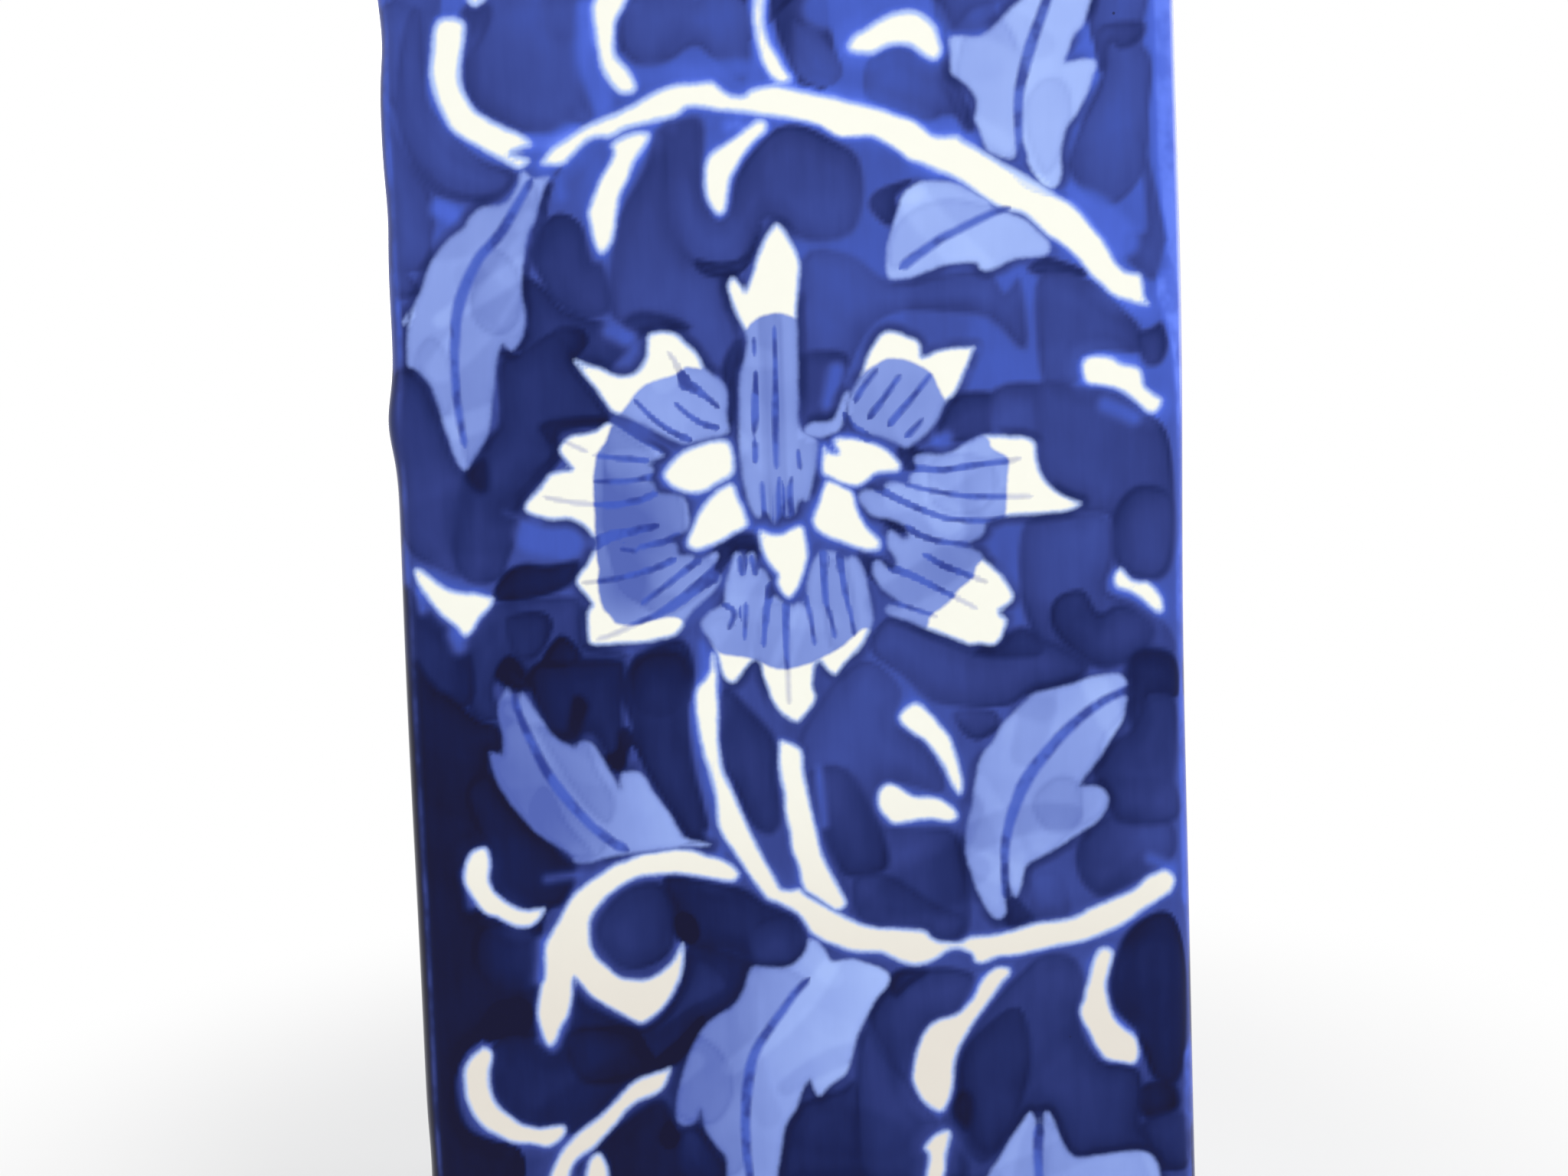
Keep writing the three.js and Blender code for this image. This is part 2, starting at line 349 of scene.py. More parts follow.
        -48.5, -96, -51.5, -93.5, -54, -91, -55.3, -88, -55.7, -84, -55.3, -81, -53.5, -78,
        -51, -75.5, -48, -73, -44, -71, -40, -70, -35, -69.8, -30, -70, -25, -71, -20, -72,
        -17.5, -72],
    'lowStem': [
        -36, -120.5, -37.5, -121, -41, -122, -45, -123.5, -48, -126, -51, -129, -54, -132,
        -57.5, -134.5, -60.5, -136.5, -63, -139, -65.5, -142, -67.5, -145.5, -70, -151, -74, -158,
        -79, -164, -85, -169, -91, -172, -93, -170.5, -87, -166, -80.5, -160, -74, -153.5,
        -69, -151.5, -64.5, -150.5, -62, -145, -59, -142.5, -56, -140.3, -53, -137.5, -50.5, -134.5,
        -48, -131.5, -45, -129.3, -42, -128, -39, -126.5, -37, -124],
    'lowSpur': [
        -55, -142.7, -57.5, -143.5, -58.8, -146, -59.7, -151, -60, -158, -58.5, -165, -55, -171,
        -49.5, -175, -47.5, -173.5, -51, -168, -53, -161, -53.2, -154, -53.2, -147],
}

leaves = {                          # filled with a thin wash
    'leafLeft': [
        -58, 109, -59.5, 106, -61, 102, -62, 98, -63.8, 95, -65, 90, -65.8, 85, -66, 80, -65.5, 75,
        -65.8, 71, -67, 68, -69, 65.7, -70.3, 66.5, -71.5, 67.5, -72.5, 65.5, -73.5, 62, -74, 57,
        -74.8, 53, -75.3, 48, -77, 43.5, -79, 40.5, -80.5, 38.5, -82.2, 36, -84, 37.5, -85.5, 41,
        -86.5, 45, -87.5, 49, -88.5, 53, -90, 57, -92, 60, -94, 62, -95.8, 63, -96, 66, -95.8, 70,
        -95, 74, -93, 79, -91, 83, -89, 88, -86, 92, -83, 95, -80, 97, -78, 100, -75, 102,
        -71, 102.5, -68, 104, -66, 107, -65, 110.5, -63.5, 110, -62, 108.5],
    'leafTopRight': [
        43.8, 140, 44, 136, 44, 131.5, 46, 129.5, 48.5, 127.5, 50, 125, 50.2, 122, 49.8, 119.5,
        51, 116.5, 52, 113, 53, 111.5, 56, 110, 58.5, 109.5, 59.8, 110.5, 61, 113, 62.5, 111,
        63, 108, 64.5, 105, 66.5, 102.5, 68.5, 101.8, 70, 102.5, 71, 105, 71, 109, 71.5, 113,
        73, 117, 76, 121, 78, 125, 79.5, 129, 80.5, 131.5, 80, 133, 77.5, 133.5, 74, 133,
        72.5, 132.8, 73.5, 135.5, 75, 139, 77, 141.5, 78.5, 145, 79.8, 150, 80, 156, 80.5, 163,
        83, 170, 87.5, 176, 88, 178.5, 84, 177, 79, 173, 75.5, 170, 73.5, 168.5, 71, 165, 68, 160,
        65, 154, 62.5, 149, 60, 147, 57, 144, 54, 141.5, 51, 140, 47, 140.2],
    'leafInner': [
        27, 80.8, 26.3, 84, 26.7, 88, 28, 93, 30, 98.5, 31.5, 102, 35, 104.2, 40, 104.7, 45, 103.7,
        49, 101.3, 52.5, 99.3, 53.5, 97.7, 58, 95.8, 62, 93.8, 65, 91, 67.3, 88.5, 67.8, 86.5,
        66.5, 85, 62, 84.8, 58, 84.3, 55, 82.8, 52, 81.8, 50, 82.3, 49, 83.8, 45, 84, 40, 83.3,
        36, 82, 33, 80.8, 30, 80.5],
    'leafLowLeft': [
        -74, -20, -74.5, -20.3, -76.5, -23.5, -76.8, -27, -76, -31, -75.8, -34.5, -76.3, -37.3,
        -77.5, -37, -79.5, -36.5, -79.3, -39, -78.5, -42, -77, -46, -74.5, -50, -71.5, -54,
        -68, -58, -64, -61, -61, -63, -59.5, -64.5, -58.5, -66, -55, -66, -51, -65, -47, -64.3,
        -43, -64, -38, -63.5, -30, -62.7, -23.5, -62.5, -30, -60.5, -32, -57.5, -34, -54, -36, -51,
        -38, -48, -40, -44.3, -42, -43, -45.5, -43, -46, -44, -46.3, -47, -47.5, -45, -49, -42,
        -51, -38.5, -52.5, -35.8, -54.5, -34.5, -56.5, -34.8, -57.5, -36, -59, -35, -61, -34.2,
        -63.5, -32.3, -65.5, -29, -68, -25, -70, -21.8, -71, -21.5, -72.3, -25, -73, -22.5],
    'leafRight': [
        81.5, -21.7, 84, -22.5, 85, -24.5, 83.6, -26.3, 85, -28, 84.5, -30, 83.5, -34, 81, -38,
        78, -42.5, 75, -46.5, 72.5, -50, 74, -50.5, 77, -50.7, 79, -52.5, 79.5, -55, 78.5, -57.5,
        75.5, -60.5, 71.5, -63, 67.5, -65.5, 63, -68, 60, -69.5, 58, -71, 57, -73.5, 56.2, -77,
        55, -79, 54, -77.5, 53, -74, 52.6, -70, 52, -75, 52.2, -80, 52.3, -83, 51, -84.5, 49, -84,
        47, -81, 45, -77, 43.5, -72, 42.5, -67.5, 42.3, -63, 43.3, -58, 44.5, -53, 45.3, -48,
        46.3, -44, 48, -40.5, 50.5, -37.5, 52.5, -34, 55, -31.5, 58, -28.5, 61, -26, 66, -25,
        71, -23.8, 76, -22.5],
    'leafBottom': [
        -13.5, -94.7, -9, -95, -6.5, -95.3, -3.5, -94.5, -1, -92.5, 0.5, -90, 1, -88, 3, -88.5,
        5, -91, 6.5, -93.5, 8, -94, 12, -93.7, 16, -95, 19, -96, 21.5, -98, 21.3, -100.5, 19, -103,
        17, -106, 15.2, -109, 13.5, -112, 12, -116, 11, -120, 9.5, -123.5, 7, -125.5, 4.5, -127.5,
        2.5, -129.5, 1, -127.5, 0, -125, -2, -128, -3, -130.5, -4, -133, -6.5, -136.5, -7.5, -141,
        -8.5, -146, -9.5, -151, -11, -158, -14, -165, -18, -171, -21, -172.5, -21, -168, -22, -160,
        -22.5, -152, -22.5, -145, -25, -141.5, -27, -138, -28, -135.5, -28.7, -132, -30, -135,
        -33, -136, -35, -134.5, -35, -131, -34, -126, -32.5, -121, -31, -117, -29.5, -114,
        -27.5, -111, -25, -108.3, -22, -106.5, -19, -104.5, -16.5, -101, -15, -97],
    'budBottom': [
        57.3, -136, 56, -137.5, 54, -140.5, 52, -143, 49.5, -147, 47, -150.5, 44.5, -156,
        43.5, -162, 45, -168, 49, -173, 55, -176, 62, -177.5, 70, -177, 78, -174.5, 85, -170,
        90, -163, 91, -156, 90, -150.5, 88, -148, 85, -147.3, 80, -147.5, 75, -148, 70, -148.5,
        67, -147, 65, -143, 63.5, -138.5, 62, -136, 60.8, -137, 60.2, -142, 59.2, -142, 58.6, -138],
    'stemWash': [
        55.5, 108.7, 57, 105, 58, 102, 60, 99.5, 64, 98, 68, 98.5, 70, 99.5, 65, 103.3, 60, 106.3],
    'fleckLeft': [-97, 74.5, -96, 75, -95.2, 76.5, -95.4, 74.5, -96.3, 73.2],
    'joinWash': [
        4, 42.5, 8, 41.2, 11, 42, 13.5, 43.5, 15, 48, 16.3, 52.5, 14.8, 52, 13, 48, 11, 45.2,
        6, 45],
}

petals = {                          # white at their tips, washed towards the flower's middle
    'petalTop': [
        -1, 95.3, 1, 93.5, 3, 90, 4.3, 86.5, 4.5, 84, 4, 80, 3.5, 75, 3.3, 70, 3.2, 60, 3, 52,
        2.7, 47, 3.2, 44.5, 4, 43, 6, 41.8, 7.5, 40, 7, 35, 6, 30, 4.5, 25.5, 2.5, 25.5, 0.8, 22,
        -1, 21.3, -2.5, 22.5, -4, 19.8, -6, 22.5, -8, 21.3, -9.5, 23, -11, 27, -12, 33, -12.5, 40,
        -12.2, 46, -12, 52, -11.5, 58, -10.2, 62, -9.5, 66, -10, 68.6, -11, 70.8, -12.5, 74,
        -13.5, 77.5, -14, 80.5, -13, 82.3, -12, 82, -10.5, 80, -9.5, 78.7, -8, 82, -6.5, 86.5,
        -5, 90.5, -2.5, 94],
    'petalUpperLeft': [
        -53.5, 63, -50, 61.8, -47, 60.8, -44, 59.3, -41, 58.7, -38.5, 59.2, -37, 60.5, -36, 62,
        -35.2, 64, -35, 66.5, -34.5, 68.8, -32, 69.5, -30, 69.5, -27, 68.5, -25, 66.3, -23, 64.5,
        -21.5, 62, -21, 60.5, -19, 58.5, -17, 57, -15.5, 55, -15, 52, -15.5, 47, -15, 44.5, -16, 43,
        -23, 41.5, -26, 41, -30, 42.3, -34, 44.5, -38, 46.7, -42.5, 48.7, -44, 49.3, -45.5, 51,
        -47.5, 54, -50, 57.5, -52, 60],
    'petalsLeft': [
        -44.5, 46.5, -46.5, 46.3, -48.5, 45, -52, 44.3, -55, 44, -57, 42.5, -58.3, 40.5,
        -57.5, 38.5, -56, 36.5, -55.3, 35.3, -58, 35, -61, 34.3, -62, 33, -64, 30.5, -66.5, 28.3,
        -67.8, 26.3, -67.3, 25, -65, 23.8, -61, 22.6, -57, 22.8, -54, 21.5, -52, 20, -50.8, 18.5,
        -50, 17, -50, 15.5, -50.5, 14.5, -52.5, 11, -55.2, 7.5, -54.5, 5, -52.5, 2.5, -51.5, 0.5,
        -52.8, -1, -53, -4, -52.8, -8, -52, -9.3, -48, -9.8, -40, -9.5, -35, -9, -31, -8, -29, -6.5,
        -28, -5.3, -28, -4.5, -25, -1, -21, 2.5, -18.8, 5, -18.5, 7, -20, 8, -20.3, 9, -19, 12,
        -20, 12.7, -24, 11, -25.5, 12.4, -28.5, 12.6, -29.5, 15.3, -31, 16.4, -30, 17.5, -27, 18.5,
        -25.8, 20.5, -26, 23, -26.5, 26, -28, 27.8, -31, 28.3, -33.5, 28.6, -34.5, 30.8, -35.5, 32,
        -34.5, 34.8, -35.5, 36.3, -31.8, 38, -33.5, 39.8, -37, 41.6, -40, 43.6],
    'petalUpperRight': [
        15.5, 47, 15.7, 50, 17, 53, 19.5, 57.5, 20.5, 60.5, 22, 63.5, 24, 66.3, 26, 67.5, 29, 67,
        31, 66, 33.5, 65, 34.5, 63, 34.5, 60.7, 36, 61, 38, 62, 42, 62.7, 46, 62.8, 48, 62.7,
        47.3, 61, 46, 58, 45, 55.5, 43.5, 52.5, 42, 50.5, 40.5, 49.5, 39, 46.5, 37, 43, 35, 41,
        32, 39, 30, 38, 27, 39.4, 23.5, 41, 19, 42, 17, 43.5, 16, 45],
    'petalsRight': [
        32, 34.5, 32.5, 35.7, 35, 36, 38, 35.8, 41, 36.3, 44, 37.8, 47, 39.3, 50, 40.3, 54, 40.2,
        57, 39.8, 60, 39.8, 62, 38.8, 63, 37.5, 63, 35.5, 63.5, 32.5, 64, 30.5, 65, 28.5, 67, 26.3,
        69, 24.8, 71.5, 23.5, 74, 22.7, 74, 21.8, 72, 20.8, 69, 20.3, 65, 20, 56, 19.7, 54, 19.5,
        50, 18.2, 49.5, 17, 49, 15.5, 47.5, 14.3, 45, 13.3, 43.5, 12.7, 46, 11.5, 48, 10.5, 49, 8.8,
        51, 7, 53, 5, 54.5, 3, 56, 0.5, 56.4, -1, 55.5, -2.5, 54, -3.5, 52.5, -4.3, 53, -5.5,
        54.5, -7, 54, -9, 53, -11.3, 51.5, -13, 50, -13.2, 47.5, -12.7, 45, -13, 43, -12.3, 40, -11,
        37, -9.8, 33, -8, 30, -6.5, 25, -4.7, 23.3, -3.5, 24.5, -1.8, 27, -1.9, 26, -0.5, 23, 2,
        21, 5, 20.5, 7, 21, 9.2, 22.5, 9.3, 24, 7.8, 26, 7.2, 26.5, 9.5, 24.5, 13, 24.8, 16.8,
        26.5, 16.3, 28.5, 14.8, 30, 15.6, 29, 18.2, 25, 20, 21, 21, 18.5, 23.5, 17.3, 25.5,
        18.5, 27.5, 21, 27.5, 24, 26.6, 24.5, 28.8, 27, 29.2, 30.5, 28.6, 30.8, 31, 32.5, 32.3],
    'petalBottom': [
        -23.5, -7, -24, -5, -22.5, -3, -20, -1.5, -18.3, -0.8, -17.6, 1, -17.3, 4.5, -16, 8.5,
        -14.8, 12, -13.8, 12.7, -13, 11.5, -13.2, 7.8, -12.7, 7, -11.8, 10, -11, 12.3, -9.8, 12.3,
        -9.5, 10.5, -10, 7.5, -9, 6.8, -8.8, 8.2, -7.3, 8, -6, 5, -6.3, 1, -4.5, 1.5, -3.2, 0,
        -0.5, -1.5, 1.5, -0.5, 3.3, -1.5, 3.6, 4, 5, 9, 6.5, 11.5, 8, 12.5, 11, 12, 12.5, 11,
        13.8, 10, 15.5, 10.8, 17, 9.5, 18.5, 6, 19.3, 2, 19.8, -2, 20.3, -5.5, 19.5, -8, 18.5, -10,
        17, -12.5, 15, -14.5, 13, -16.5, 11, -18.8, 10, -19.5, 8, -18, 6.5, -16, 5, -16.5, 4.7, -19,
        4.3, -22, 5, -24.8, 4, -27, 2, -29.5, 0.5, -31.3, -1, -31.3, -3, -30, -5, -28, -6.5, -25,
        -7.5, -22, -8.5, -19, -9, -16, -10.5, -15, -12.5, -16.5, -14, -18.5, -15.5, -20.3,
        -17, -20.5, -18.5, -19, -19.5, -16, -20, -13, -22, -9],
}

heart = {                           # the five bare petals round the flower's middle
    'upperLeft': [
        -32, 32.5, -31.8, 34, -30, 36.5, -27, 38.8, -24, 40.3, -20, 41.5, -17, 41.7, -15, 41,
        -14, 39, -13.7, 36, -13.8, 33.5, -15, 32, -17, 31, -19, 30, -21, 28.6, -24, 28, -27, 28.5,
        -30, 30],
    'lowerLeft': [
        -15, 30.3, -16.5, 29.8, -19, 28.5, -21.5, 26, -24, 22.5, -25.5, 19, -26.7, 16, -26.5, 14.7,
        -25, 13.7, -23, 13.8, -20, 14.8, -17, 16, -14, 17.7, -12, 18.5, -10.8, 20, -11.5, 22.5,
        -13, 26.5, -14, 29.5],
    'lower': [
        -8.3, 17.8, -7.5, 18.3, -5, 17.3, -2.5, 17.2, 0, 18.3, 2, 19.2, 3.3, 18.5, 3.8, 15,
        4.2, 11.5, 3.5, 8.5, 2.3, 5, 1, 2.5, -0.5, 0.8, -2, 1, -3.3, 2.5, -4, 4.5, -3.8, 6.5, -5, 8,
        -6.5, 10.5, -7.8, 14],
    'upperRight': [
        8.5, 32, 8.6, 36, 9, 39, 10, 38, 11, 37.3, 12.7, 37.2, 12, 38.7, 11.5, 40.5, 13, 41.3,
        17, 40.8, 22, 39.3, 25, 37.5, 27.5, 35, 28.5, 33.5, 27.8, 32, 25, 31.8, 22, 31.5, 20, 30,
        18, 28.7, 16, 28.6, 13, 29.5, 10.5, 31],
    'lowerRight': [
        10, 30.3, 8.5, 28.5, 7.5, 25.5, 6.3, 22.5, 5.5, 20.5, 6, 18.5, 7.5, 16.8, 10, 15.5,
        14, 13.8, 18, 12.2, 21, 11.7, 22.8, 12.5, 22.8, 14.5, 21.5, 16, 19.5, 18, 18, 20.5,
        17, 23.5, 16.5, 26, 15, 28],
}

washEdge = [                        # inside this line the petals carry a wash
    -17, 66, -13, 68, -10, 69, -8.5, 70.5, -6, 72.3, -3, 73, 0, 72.8, 3.3, 71.5, 8, 70, 12, 62,
    18, 56.6, 20, 57.5, 22.5, 59, 25.5, 60.5, 30, 60.3, 34, 58.5, 37, 56.5, 38.5, 53, 40, 50,
    43.5, 44, 50.5, 39.8, 51.5, 37.5, 53.5, 36, 55.5, 34.8, 56, 33, 55.5, 28, 55.3, 24, 54.8, 20.3,
    53, 15, 50, 10.5, 48.5, 8.5, 47, 7, 46.5, 5, 45, 3.3, 42.5, 1.5, 41.5, 0, 39, -2.5, 36, -4.5,
    35, -5.2, 33, -9, 25, -10, 19, -8, 17, -8.3, 15, -10, 12, -12.5, 8, -14.5, 4, -16.3, -1, -17.5,
    -5, -17.5, -8.5, -16, -12, -14.5, -16, -13.8, -19.5, -12.8, -21.5, -10.5, -26, -8, -29, -4,
    -32, -3.3, -36, -4, -40, -5, -45, -4.5, -47, -2.5, -49, 0, -50, 6, -49.5, 10, -50, 14, -50, 31,
    -49.5, 36, -48.5, 39.5, -46.5, 42, -45, 45.5, -43.5, 47.5, -42.5, 49, -40, 52, -38, 54.5,
    -35, 56.5, -32, 57.5, -28, 58.5, -25.5, 60.2, -23, 60, -20.5, 60.2]

leafVeins = [                       # width in mm at the line's start and end, then its points
    (1.7, 2.7, [-63, 107.5, -65.5, 103.5, -68, 99.5, -71, 95, -76, 90, -78.5, 86, -80.5, 82,
                -82, 78]),
    (2.7, 1.3, [-82, 78, -83, 74, -83.3, 70, -83.8, 66, -83.8, 62, -83.7, 54, -83, 48, -82.3, 43]),
    (1.4, 2.7, [61, 109, 60.6, 114, 60.5, 120, 61, 126, 62.5, 132, 64, 137]),
    (2.7, 1.4, [64, 137, 66, 142, 68, 147, 70, 152, 73, 159, 77, 166]),
    (2.2, 1.3, [31, 84, 35, 86.8, 40, 90, 45, 92.3, 50, 94.6, 54, 96.3, 57, 97]),
    (1.4, 2.5, [-72.5, -23, -71.5, -27, -69.5, -32, -67, -38, -64.5, -43, -61.5, -47.5]),
    (2.5, 1.5, [-61.5, -47.5, -58, -52, -54.5, -56, -51, -59.5, -47.5, -62.5]),
    (2.1, 2.3, [-53, -57.5, -50, -60, -48, -61.6, -46.2, -62.5]),
    (1.7, 3.2, [86, -25.6, 80, -28, 75, -31, 70, -35, 66, -39, 62, -43.5, 59, -47.5, 57, -51]),
    (2.9, 1.4, [57, -51, 55, -56, 53.5, -61, 52.5, -66, 52.3, -72, 52.3, -78]),
    (1.4, 2.5, [0, -99, -3, -102, -6, -106, -9.5, -110.5, -13, -115.5, -15, -120, -16, -125]),
    (2.5, 1.4, [-16, -125, -16.7, -130, -17.2, -137, -17, -145, -16.5, -150, -17, -158,
                -18.5, -166]),
    (2.5, 1.4, [59.5, -141, 59, -148, 59.5, -157, 62, -166]),
]

petalVeins = [
    (0.8, 0.8, [-7.8, 66.3, -7.8, 63.3]),
    (0.8, 1.6, [-2.5, 69, -2.6, 60, -2.8, 51]),
    (1.2, 2.2, [-7.6, 58, -7.9, 52.6, -8.2, 47]),
    (2.2, 1.0, [-8.2, 47, -8.5, 43.5]),
    (1.8, 0.9, [-2.8, 51, -3.2, 42, -3.2, 34.5]),
    (1.2, 1.5, [-8.4, 40.5, -8.5, 36]),
    (0.9, 1.0, [2.5, 37.5, 2.8, 34]),
    (1.9, 0.7, [-6.6, 20.5, -6.8, 25, -7, 30]),
    (1.9, 0.7, [-2.7, 20, -2.8, 27, -2.6, 31]),
    (1.9, 0.7, [0.4, 22, 0, 27, 0.6, 31]),
    (0.7, 2.2, [-29.4, 63.8, -27.9, 61.4, -26.8, 58.8]),
    (2.2, 4.2, [-26.8, 58.8, -25.9, 57.2, -25.3, 55.9]),
    (3.4, 1.0, [-25.3, 55.9, -22.9, 54.5, -20.9, 52.9, -17.7, 50.1]),
    (1.1, 1.9, [-28, 50.8, -24.5, 47.6, -21.4, 45.7, -18.5, 44.8]),
    (1.0, 2.0, [-38.3, 52, -35, 48.5, -32, 45.8, -28, 43.2, -25.5, 42]),
    (2.2, 2.4, [-44.5, 48, -40, 44.8, -35.8, 41.9, -32, 39.8]),
    (0.9, 1.0, [-56, 42, -52, 40]),
    (0.9, 1.8, [-49, 38.6, -41.4, 37.5, -36.5, 37]),
    (0.8, 1.7, [-49, 32, -41.4, 31.9, -37, 32.4, -34.5, 32.8]),
    (0.9, 1.3, [-62, 28.4, -56, 27, -50, 26.2, -47, 26]),
    (1.9, 1.6, [-47, 26, -43, 26.1, -38, 27, -34.5, 28.4]),
    (3.4, 1.6, [-50.5, 16, -46.4, 17.9, -41.4, 18.9, -34.5, 20.2]),
    (1.1, 2.0, [-38.5, 15, -32.6, 16.1, -29, 17.4]),
    (1.0, 0.8, [-43, 14.5, -40, 14]),
    (1.0, 1.2, [-53, 6.3, -46.4, 6.9, -40.8, 7.9]),
    (1.2, 1.8, [-40.8, 7.9, -34.5, 9.6, -30.5, 11.4]),
    (0.9, 2.0, [-38.5, 0.7, -32.6, 4.8, -27, 8.9, -24, 11]),
    (0.9, 2.4, [-36, -2.7, -33.9, -1.7, -28.3, 2, -23.3, 5.8, -18, 9.7]),
    (0.8, 1.2, [-50, -8.2, -46, -7, -38.6, -3.8]),
    (1.2, 2.4, [-38.6, -3.8, -30.8, -0.7, -25.3, 3.2, -20, 6.3]),
    (1.8, 2.6, [14.8, 46.5, 16.5, 43.8, 20, 41]),
    (0.8, 1.6, [22.9, 57.6, 19.8, 53.9, 17.6, 50.6]),
    (0.9, 1.8, [28.7, 56, 24.8, 50.8, 21.2, 46.3]),
    (0.9, 1.9, [36.6, 56, 31, 49.5, 26.2, 44.2]),
    (0.8, 1.6, [34, 44.5, 30.5, 41]),
    (1.0, 1.6, [58.5, 34.2, 55.4, 33.6, 47.2, 32.9]),
    (1.6, 2.0, [47.2, 32.9, 39.8, 32, 31, 32.6]),
    (0.8, 1.4, [61, 24.5, 56, 24.5, 44.8, 25.1]),
    (1.2, 1.0, [44.8, 25.1, 36.6, 26.7, 30, 28.5]),
    (0.9, 1.5, [54.8, 19.5, 49.8, 18.6, 39.8, 19.5]),
    (1.5, 2.2, [39.8, 19.5, 33.5, 22, 27.3, 25.1, 22.3, 28]),
    (1.2, 2.0, [45, 12.7, 38, 13.8, 33, 15.5, 30, 17.4]),
    (0.9, 1.9, [49, 3.2, 46, 4.5, 38.5, 7.6]),
    (1.9, 1.3, [38.5, 7.6, 35.8, 9.4, 34, 10.4]),
    (0.8, 1.6, [46.5, -3.4, 42.3, -1.1, 36.6, 2]),
    (1.6, 2.4, [36.6, 2, 31, 5.1, 25.5, 7.4]),
    (0.8, 1.2, [36, -5.2, 30, -3, 25, -1.2]),
    (2.2, 1.2, [7.9, 12, 8, 5, 8.3, -1]),
    (1.2, 0.8, [8.3, -1, 9.5, -5, 10.3, -9.5]),
    (2.2, 1.2, [12.2, 11, 13, 4, 13.8, -1]),
    (1.2, 0.8, [13.8, -1, 14.6, -4, 15.3, -9]),
    (1.4, 0.8, [3, 1, 4.2, -4, 5, -11]),
    (2.2, 1.4, [-1.8, -1.2, -2.2, -6, -2.3, -12]),
    (1.2, 0.7, [-2.3, -12, -2.1, -17, -2, -26]),
    (2.4, 1.0, [-5.8, 3.5, -7.2, -4, -8, -11]),
    (1.0, 0.8, [-12.2, -1, -12.8, -9]),
    (1.8, 0.9, [-17.4, -0.8, -15.2, -2.4, -16.6, -6.4]),
    (1.4, 1.4, [-9.6, 7.5, -10.2, 11]),
    (1.4, 1.4, [-13.0, 7.5, -13.2, 11]),
]

# How dense each leaf's wash is at its middle, and how much it changes per mm to the right
leafTones = {
    'leafLeft': (0.50, 0.0), 'leafTopRight': (0.27, 0.0), 'leafInner': (0.33, 0.0),
    'leafLowLeft': (0.59, -0.010), 'leafRight': (0.45, -0.004), 'leafBottom': (0.48, -0.009),
    'budBottom': (0.42, 0.0), 'stemWash': (0.05, 0.0), 'joinWash': (0.45, 0.0),
    'fleckLeft': (0.3, 0.0)}
petalTones = [                      # x, z, radius in mm, and density there
    (-46, 22, 14, 0.86), (-43, 5, 8, 0.95), (-30, 50, 9, 0.48), (50, 25, 9, 0.43), (0, 33, 6, 0.46),
    (-5, 50, 9, 0.63), (32, 52, 8, 0.59), (40, 8, 9, 0.66), (0, -6, 16, 0.61), (38, 30, 8, 0.61)]

